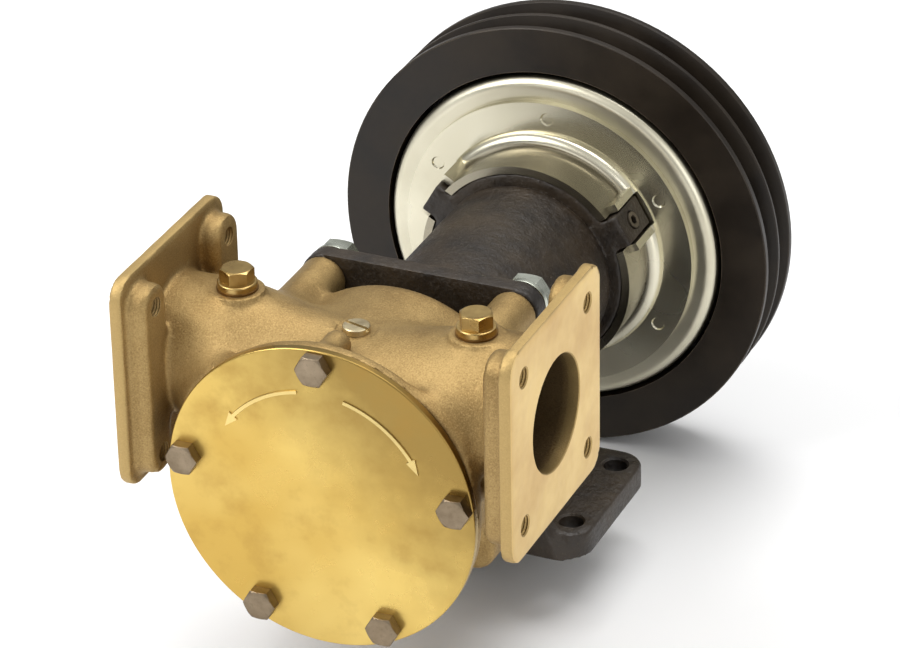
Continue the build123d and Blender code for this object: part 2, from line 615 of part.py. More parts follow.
with BuildPart() as bearing_housing:
    turn(
        (PLATE_START + 1, 0),
        (PLATE_START + 1, TUBE_RADIUS),
        (TUBE_END - GROOVE_STEP, TUBE_RADIUS),
        (TUBE_END, TUBE_RADIUS - GROOVE_STEP),
        (SHOULDER_START, TUBE_RADIUS - GROOVE_STEP),
        (SHOULDER_START, SHOULDER_RADIUS - SHOULDER_BEVEL),
        (SHOULDER_START + SHOULDER_BEVEL, SHOULDER_RADIUS),
        (SHOULDER_END, SHOULDER_RADIUS),
        (SHOULDER_END, NOSE_STEP_RADIUS),
        (PULLEY_BEARING, NOSE_STEP_RADIUS),
        (PULLEY_BEARING, NOSE_RADIUS),
        (NOSE_END, NOSE_RADIUS),
        (NOSE_END, 0),
    )
    # front plate: four ears on a column that spreads into the foot
    with BuildSketch(section(PLATE_END)) as plate_outline:
        with Locations(*MOUNT_BOLTS):
            Circle(EAR_RADIUS)
        make_hull()
    extrude(plate_outline.sketch, amount=PLATE_THICKNESS)
    with BuildSketch(section(PLATE_END)) as column:
        with BuildLine():
            Polyline(
                (-FOOT_COLUMN_HALF_WIDTH, -MOUNT_BOLT_HEIGHT),
                (FOOT_COLUMN_HALF_WIDTH, -MOUNT_BOLT_HEIGHT),
                (FOOT_COLUMN_HALF_WIDTH + EAR_RADIUS, foot_height + FOOT_THICKNESS / 2),
                (-FOOT_COLUMN_HALF_WIDTH - EAR_RADIUS, foot_height + FOOT_THICKNESS / 2),
                close=True,
            )
        make_face()
    extrude(column.sketch, amount=PLATE_THICKNESS)
    fillet(bearing_housing.edges().group_by(Axis.Y)[0].filter_by(GeomType.LINE), radius=PLATE_EDGE_ROUNDING)
    # middle web under the tube
    with BuildSketch(across_ports(0)) as web:
        with BuildLine():
            Polyline(
                (PLATE_END - WEB_OVERLAP, foot_height + WEB_OVERLAP),
                (PLATE_END - WEB_OVERLAP, -TUBE_RADIUS + WEB_OVERLAP),
                (WEB_END - WEB_SLOPE, -TUBE_RADIUS + WEB_OVERLAP),
                (WEB_END, foot_height + WEB_OVERLAP),
                close=True,
            )
        make_face()
    extrude(web.sketch, amount=WEB_WIDTH / 2, both=True)
    # foot with four bolt holes
    with BuildSketch(Plane.XY) as foot:
        RectangleRounded(2 * FOOT_HALF_WIDTH, 2 * FOOT_HALF_LENGTH, FOOT_CORNER)
        with GridLocations(2 * FOOT_HOLE_X, 2 * FOOT_HOLE_Y, 2, 2):
            Circle(FOOT_HOLE_RADIUS, mode=Mode.SUBTRACT)
    extrude(foot.sketch, amount=FOOT_THICKNESS)
    # three clamping lugs
    for angle in LUG_ANGLES:
        with BuildSketch(section(LUG_END)) as lug:
            with Locations(Location((0, 0, 0), (0, 0, angle))):
                with Locations(((LUG_FLAT + SHOULDER_RADIUS - LUG_ROOT) / 2, 0)):
                    Rectangle(LUG_FLAT - SHOULDER_RADIUS + LUG_ROOT, LUG_WIDTH)
        extrude(lug.sketch, amount=LUG_END - LUG_START)
    # bores for oil seal, bearings, retaining rings and shaft
    ring(PLATE_START, FRONT_BEARING + BEARING_WIDTH, 0, BEARING_OUTER, mode=Mode.SUBTRACT)
    ring(FRONT_BEARING, REAR_BEARING, 0, HOUSING_SHOULDER_RADIUS, mode=Mode.SUBTRACT)
    ring(
        FRONT_BEARING + BEARING_WIDTH + BEARING_STOP,
        REAR_BEARING - BEARING_STOP,
        0,
        HOUSING_CAVITY_RADIUS,
        mode=Mode.SUBTRACT,
    )
    ring(REAR_BEARING, NOSE_END, 0, BEARING_OUTER, mode=Mode.SUBTRACT)
    ring(
        FRONT_BEARING - CIRCLIP_THICKNESS,
        FRONT_BEARING,
        0,
        BEARING_OUTER + CIRCLIP_DEPTH,
        mode=Mode.SUBTRACT,
    )
    ring(
        REAR_BEARING + BEARING_WIDTH,
        REAR_BEARING + BEARING_WIDTH + CIRCLIP_THICKNESS,
        0,
        BEARING_OUTER + CIRCLIP_DEPTH,
        mode=Mode.SUBTRACT,
    )
    ring(
        PULLEY_BEARING + PULLEY_BEARING_WIDTH,
        PULLEY_BEARING + PULLEY_BEARING_WIDTH + CIRCLIP_THICKNESS,
        NOSE_RADIUS - CIRCLIP_DEPTH,
        NOSE_RADIUS + 1,
        mode=Mode.SUBTRACT,
    )
    pins(MOUNT_BOLTS, MOUNT_CLEARANCE_RADIUS, PLATE_START, PLATE_END, mode=Mode.SUBTRACT)
    # radial tapped holes for the set screws
    for angle in LUG_ANGLES:
        with BuildSketch(radial_plane(SET_SCREW_STATION, angle, LUG_FLAT)) as set_screw_hole:
            Circle(SET_SCREW_RADIUS)
        extrude(set_screw_hole.sketch, amount=-SET_SCREW_LENGTH, mode=Mode.SUBTRACT)
save(bearing_housing, "bearing_housing")

with BuildPart() as stator_set_screws:
    for angle in LUG_ANGLES:
        screw_top = radial_plane(SET_SCREW_STATION, angle, LUG_FLAT + SET_SCREW_PROUD)
        with BuildSketch(screw_top) as set_screw:
            Circle(SET_SCREW_RADIUS - ASSEMBLY_GAP)
        extrude(set_screw.sketch, amount=-SET_SCREW_LENGTH)
        with BuildSketch(screw_top) as socket:
            RegularPolygon(SET_SCREW_SOCKET / 2, 6, major_radius=False)
        extrude(socket.sketch, amount=-SET_SCREW_SOCKET, mode=Mode.SUBTRACT)
save(stator_set_screws, "stator_set_screws")

MOUNT_WASHER_RADIUS = 11.0
MOUNT_WASHER_THICKNESS = 2.5
MOUNT_BOLT_FLATS = 19.0
MOUNT_BOLT_HEAD = 7.5

with BuildPart() as mount_washers:
    pins(MOUNT_BOLTS, MOUNT_WASHER_RADIUS, PLATE_END, PLATE_END + MOUNT_WASHER_THICKNESS)
    pins(
        MOUNT_BOLTS,
        MOUNT_CLEARANCE_RADIUS,
        PLATE_END,
        PLATE_END + MOUNT_WASHER_THICKNESS,
        mode=Mode.SUBTRACT,
    )
save(mount_washers, "mount_washers")

head_seat = PLATE_END + MOUNT_WASHER_THICKNESS
rear_facing = Plane(
    origin=(0, COVER_FACE_Y + head_seat, SHAFT_HEIGHT), x_dir=(-1, 0, 0), z_dir=(0, 1, 0)
)
mount_heads = hex_heads(rear_facing, MOUNT_BOLTS, MOUNT_BOLT_FLATS, MOUNT_BOLT_HEAD)
with BuildPart() as mount_bolts:
    add(mount_heads)
    pins(MOUNT_BOLTS, MOUNT_SCREW_RADIUS - ASSEMBLY_GAP, MOUNT_SCREW_START + 3, head_seat)
save(mount_bolts, "mount_bolts")

with BuildPart() as oil_seal:
    shaft_seal(OIL_SEAL_START, OIL_SEAL_WIDTH, SHAFT_RADIUS, BEARING_OUTER)
save(oil_seal, "oil_seal")


# ---------------------------------------------------------------- ball bearings
CAGE_WALL = 1.8
RACE_SHARE = 0.36           # of the space between bore and outside, for each ring
CAGE_SHARE = 1.2            # half width of a cage against the ball radius


def deep_groove_bearing(name, start, width, bore, outer, ball_radius, ball_count, rows=(0.5,)):
    """Rings, balls and cage of a ball bearing; rows holds each row's place across the width."""
    pitch = (bore + outer) / 2
    race_thickness = RACE_SHARE * (outer - bore)
    rings = (
        ("inner", bore, bore + race_thickness),
        ("outer", outer - race_thickness, outer),
    )
    for ring_name, inner_radius, outer_radius in rings:
        with BuildPart() as race_ring:
            ring(start, start + width, inner_radius, outer_radius)
            chamfer(race_ring.edges().filter_by(GeomType.CIRCLE), length=SMALL_CHAMFER)
            for row in rows:
                race(start + row * width, pitch, ball_radius)
        save(race_ring, f"{name}_{ring_name}_ring")
    with BuildPart() as balls:
        for row in rows:
            middle = start + row * width
            for number in range(ball_count):
                with Locations(radial_plane(middle, number * 360 / ball_count, pitch)):
                    Sphere(ball_radius)
    save(balls, f"{name}_balls")
    with BuildPart() as cage:
        for row in rows:
            cage_half_width = CAGE_SHARE * ball_radius
            middle = start + row * width
            ring(
                middle - cage_half_width,
                middle + cage_half_width,
                pitch - CAGE_WALL / 2,
                pitch + CAGE_WALL / 2,
            )
            for number in range(ball_count):
                pocket_plane = radial_plane(middle, number * 360 / ball_count, pitch)
                with BuildSketch(pocket_plane) as pocket:
                    Circle(ball_radius + FIT)
                extrude(pocket.sketch, amount=CAGE_WALL, both=True, mode=Mode.SUBTRACT)
    save(cage, f"{name}_cage")


for name, start in (("front_bearing", FRONT_BEARING), ("rear_bearing", REAR_BEARING)):
    deep_groove_bearing(name, start, BEARING_WIDTH, SHAFT_RADIUS, BEARING_OUTER, 4.0, 9)
deep_groove_bearing(
    "pulley_bearing",
    PULLEY_BEARING,
    PULLEY_BEARING_WIDTH,
    NOSE_RADIUS,
    PULLEY_BEARING_OUTER,
    4.4,
    16,
    rows=(0.27, 0.73),
)


def circlip(name, start, inner, outer):
    """Open retaining ring with its gap at the bottom."""
    with BuildPart() as clip:
        ring(start, start + CIRCLIP_THICKNESS, inner, outer)
        with BuildSketch(section(start + CIRCLIP_THICKNESS)) as clip_gap:
            with Locations((0, -outer)):
                Rectangle(CIRCLIP_GAP, 2 * (outer - inner) + 4)
        extrude(clip_gap.sketch, amount=CIRCLIP_THICKNESS, mode=Mode.SUBTRACT)
    save(clip, name)


circlip_outer = BEARING_OUTER + CIRCLIP_DEPTH - ASSEMBLY_GAP
circlip("front_bearing_circlip", FRONT_BEARING - CIRCLIP_THICKNESS, BEARING_OUTER - 3, circlip_outer)
circlip("rear_bearing_circlip", REAR_BEARING + BEARING_WIDTH, BEARING_OUTER - 3, circlip_outer)
circlip(
    "pulley_bearing_circlip",
    PULLEY_BEARING + PULLEY_BEARING_WIDTH,
    NOSE_RADIUS - CIRCLIP_DEPTH + ASSEMBLY_GAP,
    NOSE_RADIUS + 2.6,
)

# ---------------------------------------------------------------- shaft
SHAFT_STEP = 102.0
SHAFT_COLLAR_RADIUS = 15.5
SHAFT_END = 301.0
HUB_START = 285.5
HUB_KEY_END = 299.0
HUB_KEY_LENGTH = 12.0
HUB_SCREW_RADIUS = 4.0
HUB_SCREW_DEPTH = 18.0

with BuildPart() as shaft:
    turn(
        (SHAFT_START, 0),
        (SHAFT_START, SHAFT_END_RADIUS - 1),
        (SHAFT_START + 1, SHAFT_END_RADIUS),
        (SHAFT_STEP, SHAFT_END_RADIUS),
        (SHAFT_STEP, SHAFT_RADIUS),
        (FRONT_BEARING + BEARING_WIDTH, SHAFT_RADIUS),
        (FRONT_BEARING + BEARING_WIDTH, SHAFT_COLLAR_RADIUS),
        (REAR_BEARING, SHAFT_COLLAR_RADIUS),
        (REAR_BEARING, SHAFT_RADIUS),
        (HUB_START, SHAFT_RADIUS),
        (HUB_START, SHAFT_END_RADIUS),
        (SHAFT_END - 1, SHAFT_END_RADIUS),
        (SHAFT_END, SHAFT_END_RADIUS - 1),
        (SHAFT_END, 0),
    )
    keyway(IMPELLER_KEY_END, IMPELLER_KEY_LENGTH, Mode.SUBTRACT)
    keyway(HUB_KEY_END, HUB_KEY_LENGTH, Mode.SUBTRACT)
    ring(SHAFT_END - HUB_SCREW_DEPTH, SHAFT_END, 0, HUB_SCREW_RADIUS, mode=Mode.SUBTRACT)
save(shaft, "shaft")

# ---------------------------------------------------------------- stator of the clutch
DIMPLE_CIRCLE = 63.0
DIMPLE_RADIUS = 3.2
DIMPLE_DEPTH = 0.8
COLLAR_NOTCH_WIDTH = 17.0
COLLAR_EAR_HEIGHT = 4.2     # the sheet is turned up on both sides of a lug
COLLAR_EAR_START = 228.0
COIL_WALL = 4.0
COIL_LIP = 5.5
COIL_END_GAP = 6.0
POTTING_RECESS = 0.5
collar_bore = SHOULDER_RADIUS + 0.15
flat_start = STATOR_FACE + STATOR_SHEET
collar_bend = 6.0

with BuildPart() as stator_plate:
    with BuildSketch(across_ports(0)) as pressed_outline:
        with BuildLine():
            Line((COLLAR_START, collar_bore), (COLLAR_START, COLLAR_RADIUS))
            Line((COLLAR_START, COLLAR_RADIUS), (STATOR_FACE - collar_bend, COLLAR_RADIUS))
            RadiusArc(
                (STATOR_FACE - collar_bend, COLLAR_RADIUS),
                (STATOR_FACE, COLLAR_RADIUS + collar_bend),
                collar_bend,
            )
            Line((STATOR_FACE, COLLAR_RADIUS + collar_bend), (STATOR_FACE, STATOR_PLATE_RADIUS))
            Line((STATOR_FACE, STATOR_PLATE_RADIUS), (flat_start, STATOR_PLATE_RADIUS))
            Line((flat_start, STATOR_PLATE_RADIUS), (flat_start, COLLAR_RADIUS + collar_bend))
            Line((flat_start, COLLAR_RADIUS + collar_bend), (SHOULDER_END, collar_bore))
            Line((SHOULDER_END, collar_bore), (COLLAR_START, collar_bore))
        make_face()
    revolve(pressed_outline.sketch, axis=SHAFT_AXIS)
    # the collar is cut for the three lugs and turned up beside them
    ear_width = COLLAR_NOTCH_WIDTH + 2 * STATOR_SHEET
    ear_reach = COLLAR_RADIUS + COLLAR_EAR_HEIGHT - collar_bore
    for angle in LUG_ANGLES:
        around_lug = Location((0, 0, 0), (0, 0, angle))
        with BuildSketch(section(STATOR_FACE + 1)) as ears:
            with Locations(around_lug):
                with Locations((collar_bore + 1 + ear_reach / 2, 0)):
                    Rectangle(ear_reach - 2, ear_width)
        extrude(ears.sketch, amount=STATOR_FACE + 1 - COLLAR_EAR_START)
        with BuildSketch(section(STATOR_FACE - 1)) as notch:
            with Locations(around_lug):
                with Locations((COLLAR_RADIUS, 0)):
                    Rectangle(20, COLLAR_NOTCH_WIDTH)
        extrude(notch.sketch, amount=STATOR_FACE - 1 - COLLAR_START, mode=Mode.SUBTRACT)
    # six weld dimples
    with BuildSketch(section(STATOR_FACE)) as dimples:
        with PolarLocations(DIMPLE_CIRCLE, 6, start_angle=30):
            Circle(DIMPLE_RADIUS)
    extrude(dimples.sketch, amount=-DIMPLE_DEPTH, taper=35, mode=Mode.SUBTRACT)
save(stator_plate, "stator_plate")

with BuildPart() as coil_shell:
    with BuildSketch(across_ports(0)) as shell_outline:
        with Locations(((flat_start + COIL_SHELL_END) / 2, (COIL_SHELL_BORE + COIL_SHELL_RADIUS) / 2)):
            Rectangle(COIL_SHELL_END - flat_start, COIL_SHELL_RADIUS - COIL_SHELL_BORE)
        outer_lip = shell_outline.vertices().group_by(Axis.X)[0].sort_by(Axis.Y)[-1]
        fillet(outer_lip, radius=COIL_LIP)
    revolve(shell_outline.sketch, axis=SHAFT_AXIS)
    ring(
        flat_start + COIL_WALL,
        COIL_SHELL_END,
        COIL_SHELL_BORE + COIL_WALL,
        COIL_SHELL_RADIUS - COIL_WALL,
        mode=Mode.SUBTRACT,
    )
save(coil_shell, "coil_shell")

with BuildPart() as field_coil:
    ring(
        flat_start + COIL_WALL,
        COIL_SHELL_END - COIL_END_GAP,
        COIL_SHELL_BORE + COIL_WALL,
        COIL_SHELL_RADIUS - COIL_WALL,
    )
save(field_coil, "field_coil")

with BuildPart() as coil_potting:
    ring(
        COIL_SHELL_END - COIL_END_GAP,
        COIL_SHELL_END - POTTING_RECESS,
        COIL_SHELL_BORE + COIL_WALL,
        COIL_SHELL_RADIUS - COIL_WALL,
    )
save(coil_potting, "coil_potting")

# ---------------------------------------------------------------- pulley rotor
PULLEY_END = PULLEY_START + PULLEY_WIDTH
ROTOR_HUB_START = STATOR_FACE + STATOR_SHEET + 1.2
ROTOR_LIP_RADIUS = 44.0
groove_half_top = GROOVE_TOP_WIDTH / 2
groove_half_floor = groove_half_top - GROOVE_DEPTH * tan(radians(GROOVE_ANGLE / 2))
LINING_INNER = 66.0
LINING_OUTER = 70.0
LINING_DEPTH = 2.5
SLOT_WIDTH = 3.0
SLOT_RINGS = (60.5, 75.5)
SLOT_COUNT = 6
SLOT_SPAN = 46.0
web_start = ROTOR_FACE - ROTOR_WEB
bearing_seat_end = PULLEY_BEARING + PULLEY_BEARING_WIDTH

with BuildPart() as pulley_rotor:
    turn(
        (PULLEY_START, PULLEY_BORE_RADIUS),
        (PULLEY_START, PULLEY_RADIUS),
        (PULLEY_END, PULLEY_RADIUS),
        (PULLEY_END, PULLEY_BORE_RADIUS + 2),
        (ROTOR_FACE, PULLEY_BORE_RADIUS + 2),
        (ROTOR_FACE, ROTOR_LIP_RADIUS),
        (bearing_seat_end, ROTOR_LIP_RADIUS),
        (bearing_seat_end, PULLEY_BEARING_OUTER),
        (ROTOR_HUB_START, PULLEY_BEARING_OUTER),
        (ROTOR_HUB_START, ROTOR_HUB_RADIUS),
        (web_start, ROTOR_HUB_RADIUS),
        (web_start, PULLEY_BORE_RADIUS),
    )
    for offset in (-GROOVE_PITCH / 2, GROOVE_PITCH / 2):
        middle_station = PULLEY_START + PULLEY_WIDTH / 2 + offset
        turn(
            (middle_station - groove_half_top, PULLEY_RADIUS + 0.01),
            (middle_station - groove_half_floor, PULLEY_RADIUS - GROOVE_DEPTH),
            (middle_station + groove_half_floor, PULLEY_RADIUS - GROOVE_DEPTH),
            (middle_station + groove_half_top, PULLEY_RADIUS + 0.01),
            mode=Mode.SUBTRACT,
        )
    rims = pulley_rotor.edges().filter_by(GeomType.CIRCLE).filter_by(
        lambda edge: abs(edge.radius - PULLEY_RADIUS) < 0.1
    )
    chamfer(rims, length=SMALL_CHAMFER)
    # curved slots that split the friction face into magnetic rings
    with BuildSketch(section(ROTOR_FACE)) as slots:
        for slot_ring, slot_radius in enumerate(SLOT_RINGS):
            for number in range(SLOT_COUNT):
                middle_angle = (number + slot_ring / 2) * 360 / SLOT_COUNT
                SlotArc(
                    CenterArc((0, 0), slot_radius, middle_angle - SLOT_SPAN / 2, SLOT_SPAN),
                    SLOT_WIDTH,
                )
    extrude(slots.sketch, amount=ROTOR_WEB, mode=Mode.SUBTRACT)
    ring(ROTOR_FACE - LINING_DEPTH, ROTOR_FACE, LINING_INNER, LINING_OUTER, mode=Mode.SUBTRACT)
save(pulley_rotor, "pulley_rotor")

with BuildPart() as friction_lining:
    ring(ROTOR_FACE - LINING_DEPTH, ROTOR_FACE, LINING_INNER, LINING_OUTER)
save(friction_lining, "friction_lining")

# ---------------------------------------------------------------- armature and its hub
ARMATURE_START = ROTOR_FACE + AIR_GAP
ARMATURE_END = ARMATURE_START + ARMATURE_THICKNESS
SPRING_THICKNESS = 0.8
ARMATURE_CHAMFER = 0.6
SPRING_START = ARMATURE_END
SPRING_END = SPRING_START + SPRING_THICKNESS
SPRING_COUNT = 3
SPRING_WIDTH = 12.0
RIVET_RADIUS = 3.0
RIVET_HEAD_RADIUS = 4.6
RIVET_HEAD = 1.6
RIVET_ROUNDING = 0.7
ARMATURE_RIVET_CIRCLE = 66.0
ARMATURE_RIVET_SWEEP = 42.0   # a spring runs this far round from its hub rivet
HUB_RIVET_CIRCLE = 33.0
HUB_RADIUS = 18.0
HUB_FLANGE_RADIUS = 40.0
HUB_FLANGE_THICKNESS = 4.0
HUB_FACE = SPRING_END + HUB_FLANGE_THICKNESS
hub_rivet_angles = [90 + number * 360 / SPRING_COUNT for number in range(SPRING_COUNT)]
armature_rivets_at = [
    polar(ARMATURE_RIVET_CIRCLE, angle + ARMATURE_RIVET_SWEEP) for angle in hub_rivet_angles
]
hub_rivets_at = [polar(HUB_RIVET_CIRCLE, angle) for angle in hub_rivet_angles]

with BuildPart() as armature_plate:
    ring(ARMATURE_START, ARMATURE_END, ARMATURE_BORE, ARMATURE_RADIUS)
    chamfer(armature_plate.edges().filter_by(GeomType.CIRCLE), length=ARMATURE_CHAMFER)
    pins(armature_rivets_at, RIVET_RADIUS, ARMATURE_START, ARMATURE_END, mode=Mode.SUBTRACT)
save(armature_plate, "armature_plate")

with BuildPart() as armature_springs:
    with BuildSketch(section(SPRING_END)) as leaves:
        for hub_point, plate_point in zip(hub_rivets_at, armature_rivets_at):
            with BuildLine() as leaf_line:
                Line(hub_point, plate_point)
            trace(leaf_line.line, SPRING_WIDTH)
            with Locations(hub_point, plate_point):
                Circle(SPRING_WIDTH / 2)
        with Locations(*hub_rivets_at, *armature_rivets_at):
            Circle(RIVET_RADIUS, mode=Mode.SUBTRACT)
    extrude(leaves.sketch, amount=SPRING_THICKNESS)
save(armature_springs, "armature_springs")

with BuildPart() as armature_rivets:
    pins(armature_rivets_at, RIVET_RADIUS, ARMATURE_START + 1, SPRING_END)
    pins(armature_rivets_at, RIVET_HEAD_RADIUS, SPRING_END, SPRING_END + RIVET_HEAD)
    fillet(armature_rivets.edges().group_by(Axis.Y)[-1], radius=RIVET_ROUNDING)
save(armature_rivets, "armature_rivets")

with BuildPart() as armature_hub:
    turn(
        (HUB_START, SHAFT_END_RADIUS),
        (HUB_START, HUB_RADIUS),
        (SPRING_END, HUB_RADIUS),
        (SPRING_END, HUB_FLANGE_RADIUS),
        (HUB_FACE, HUB_FLANGE_RADIUS),
        (HUB_FACE, SHAFT_END_RADIUS),
    )
    pins(hub_rivets_at, RIVET_RADIUS, SPRING_END, HUB_FACE, mode=Mode.SUBTRACT)
    keyway(HUB_FACE, HUB_FACE - HUB_START, Mode.SUBTRACT)
save(armature_hub, "armature_hub")

with BuildPart() as hub_rivets:
    pins(hub_rivets_at, RIVET_HEAD_RADIUS, SPRING_START - RIVET_HEAD, SPRING_START)
    pins(hub_rivets_at, RIVET_RADIUS, SPRING_START, HUB_FACE)
    pins(hub_rivets_at, RIVET_HEAD_RADIUS, HUB_FACE, HUB_FACE + RIVET_HEAD)
save(hub_rivets, "hub_rivets")

with BuildPart() as hub_key:
    keyway(HUB_KEY_END, HUB_KEY_LENGTH, Mode.ADD)
save(hub_key, "hub_key")

HUB_WASHER_RADIUS = 14.0
HUB_WASHER_THICKNESS = 2.5
HUB_WASHER_CLEARANCE = 0.3
HUB_THREAD_GAP = 3.0        # left free behind the end of the hub bolt

with BuildPart() as hub_washer:
    washer_bore = HUB_SCREW_RADIUS + HUB_WASHER_CLEARANCE
    ring(HUB_FACE, HUB_FACE + HUB_WASHER_THICKNESS, washer_bore, HUB_WASHER_RADIUS)
    chamfer(hub_washer.edges().group_by(Axis.Y)[-1], length=SMALL_CHAMFER)
save(hub_washer, "hub_washer")

screw_seat = HUB_FACE + HUB_WASHER_THICKNESS
end_plane = Plane(
    origin=(0, COVER_FACE_Y + screw_seat, SHAFT_HEIGHT), x_dir=(-1, 0, 0), z_dir=(0, 1, 0)
)
hub_bolt_head = hex_heads(end_plane, [(0, 0)], COVER_BOLT_FLATS, COVER_BOLT_HEAD)
with BuildPart() as hub_bolt:
    add(hub_bolt_head)
    hub_thread_end = SHAFT_END - HUB_SCREW_DEPTH + HUB_THREAD_GAP
    ring(hub_thread_end, screw_seat, 0, HUB_SCREW_RADIUS - ASSEMBLY_GAP)
save(hub_bolt, "hub_bolt")
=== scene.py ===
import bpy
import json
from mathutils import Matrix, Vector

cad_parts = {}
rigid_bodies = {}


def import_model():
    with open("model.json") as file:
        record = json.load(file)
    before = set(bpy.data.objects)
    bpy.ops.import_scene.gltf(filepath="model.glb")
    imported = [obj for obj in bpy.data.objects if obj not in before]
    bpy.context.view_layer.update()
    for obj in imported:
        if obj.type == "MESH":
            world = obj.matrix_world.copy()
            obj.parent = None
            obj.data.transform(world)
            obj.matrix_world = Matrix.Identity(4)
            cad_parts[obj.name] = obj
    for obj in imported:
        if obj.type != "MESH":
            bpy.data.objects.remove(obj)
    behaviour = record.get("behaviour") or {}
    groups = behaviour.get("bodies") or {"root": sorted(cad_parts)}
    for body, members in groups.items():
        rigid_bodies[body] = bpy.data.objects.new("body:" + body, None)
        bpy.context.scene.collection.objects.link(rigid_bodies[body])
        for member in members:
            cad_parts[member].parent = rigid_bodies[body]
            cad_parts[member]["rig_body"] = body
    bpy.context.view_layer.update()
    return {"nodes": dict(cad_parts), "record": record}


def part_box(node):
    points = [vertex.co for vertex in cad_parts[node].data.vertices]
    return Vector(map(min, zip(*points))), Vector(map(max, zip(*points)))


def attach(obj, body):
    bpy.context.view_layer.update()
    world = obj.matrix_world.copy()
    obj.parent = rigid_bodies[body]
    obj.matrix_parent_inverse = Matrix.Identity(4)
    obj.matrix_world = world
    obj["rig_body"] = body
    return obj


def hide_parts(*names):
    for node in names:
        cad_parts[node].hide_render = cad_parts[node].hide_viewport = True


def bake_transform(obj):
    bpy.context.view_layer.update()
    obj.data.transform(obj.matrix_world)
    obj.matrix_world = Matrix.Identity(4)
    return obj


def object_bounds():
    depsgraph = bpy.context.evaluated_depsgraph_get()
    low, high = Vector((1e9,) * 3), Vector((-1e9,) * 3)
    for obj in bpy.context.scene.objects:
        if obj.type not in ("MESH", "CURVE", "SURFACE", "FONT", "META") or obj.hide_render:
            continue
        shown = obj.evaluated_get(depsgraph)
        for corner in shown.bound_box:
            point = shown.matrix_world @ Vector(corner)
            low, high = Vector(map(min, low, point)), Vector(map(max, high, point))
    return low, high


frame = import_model()

import bmesh
import json
from math import cos, pi, radians, sin

import bpy
import numpy as np
import openvdb
from mathutils import Matrix, Vector

# Row-frame lengths are metres. The two castings are shaped in millimetres, in a frame of their
# own: x, a "station" behind the outer face of the end cover, and a "height" above the shaft.

# ------------------------------------------------------------------ places read from the frame
MM = 0.001
COVER_THICKNESS = 4.0
shaft_low, shaft_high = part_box("shaft")
SHAFT_HEIGHT = (shaft_low.z + shaft_high.z) / 2 / MM
COVER_FACE_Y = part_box("cover_gasket")[0].y / MM - COVER_THICKNESS


def node_stations(node):
    """First and last station of a CAD node."""
    low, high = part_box(node)
    return low.y / MM - COVER_FACE_Y, high.y / MM - COVER_FACE_Y


def node_heights(node):
    """Lowest and highest height of a CAD node."""
    low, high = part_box(node)
    return low.z / MM - SHAFT_HEIGHT, high.z / MM - SHAFT_HEIGHT


PORT_FACE_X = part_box("pump_body")[1].x / MM
FOOT_HEIGHT = node_heights("bearing_housing")[0]
FOOT_HALF_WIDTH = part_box("bearing_housing")[1].x / MM
PLATE_START = node_stations("bearing_housing")[0]
BODY_START = node_stations("cover_gasket")[1]
PLUG_X = sum(corner.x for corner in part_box("plug_washer_right")) / 2 / MM
PLUG_SEAT = node_heights("plug_washer_right")[0]
CAM_SCREW_SEAT = 59.2
PORT_STATION = sum(node_stations("plug_washer_right")) / 2
FLANGE_HALF_WIDTH = 48.9
PORT_HEIGHT = node_heights("pump_body")[1] - FLANGE_HALF_WIDTH
MOUNT_WASHER_RADIUS = 11.0
MOUNT_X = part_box("mount_washers")[1].x / MM - MOUNT_WASHER_RADIUS
MOUNT_HEIGHT = node_heights("mount_washers")[1] - MOUNT_WASHER_RADIUS
EAR_RADIUS = 11.2


# ------------------------------------------------------------------ castings as distance fields
class Field:
    """A block of space sampled on a grid, in which a casting grows by smooth unions and cuts."""

    def __init__(self, low, high, voxel):
        self.low = np.array(low, dtype=np.float32)
        self.voxel = voxel
        counts = [int((b - a) / voxel) + 1 for a, b in zip(low, high)]
        axes = [
            (low[i] + voxel * np.arange(counts[i])).astype(np.float32).reshape(
                [-1 if i == j else 1 for j in range(3)]
            )
            for i in range(3)
        ]
        self.x, self.s, self.h = axes
        self.mirrored_x = np.abs(self.x)
        self.value = np.full(counts, 1e3, dtype=np.float32)

    def join(self, shape, blend):
        """Union with a fillet about half as large as blend."""
        gap = np.maximum(blend - np.abs(self.value - shape), 0) / blend
        self.value = np.minimum(self.value, shape) - gap * gap * (blend / 4)

    def cut(self, shape, blend=0.8):
        """Take a shape away and round the new edges a little."""
        gap = np.maximum(blend - np.abs(self.value + shape), 0) / blend
        self.value = np.maximum(self.value, -shape) + gap * gap * (blend / 4)

    def ripple(self, depth, length):
        """Slight waviness of a sand-cast skin."""
        waves = 0
        for turn in range(5):
            directions = np.cos([1.3 * turn + 0.2, 2.1 * turn + 1.1, 0.7 * turn + 2.3])
            a, b, c = directions * 2 * pi / length
            waves = waves + np.sin(a * self.x + b * self.s + c * self.h + turn)
        self.value = self.value + (depth / 5) * waves

    def mesh(self, name, adaptivity=0.12):
        """Mesh object of the zero surface, in row-frame metres."""
        grid = openvdb.FloatGrid(background=3.0)
        grid.copyFromArray(np.clip(self.value, -3.0, 3.0))
        points, triangles, quads = grid.convertToPolygons(isovalue=0.0, adaptivity=adaptivity)
        places = self.low + points * self.voxel
        places = (places + np.array([0, COVER_FACE_Y, SHAFT_HEIGHT])) * MM
        faces = [tuple(face) for face in triangles] + [tuple(face) for face in quads]
        data = bpy.data.meshes.new(name)
        data.from_pydata(places.tolist(), [], faces)
        data.shade_smooth()
        data.update()
        piece = bpy.data.objects.new(name, data)
        bpy.context.scene.collection.objects.link(piece)
        return piece


def rounded_solid(dx, dy, rounding):
    """Distance to a solid with rounded edges, from its signed distances across and along."""
    a = dx + rounding
    b = dy + rounding
    outside = np.sqrt(np.maximum(a, 0) ** 2 + np.maximum(b, 0) ** 2)
    return np.minimum(np.maximum(a, b), 0) + outside - rounding


def span(values, start, end):
    """Signed distance to the slab between two coordinates."""
    return np.abs(values - (start + end) / 2) - (end - start) / 2


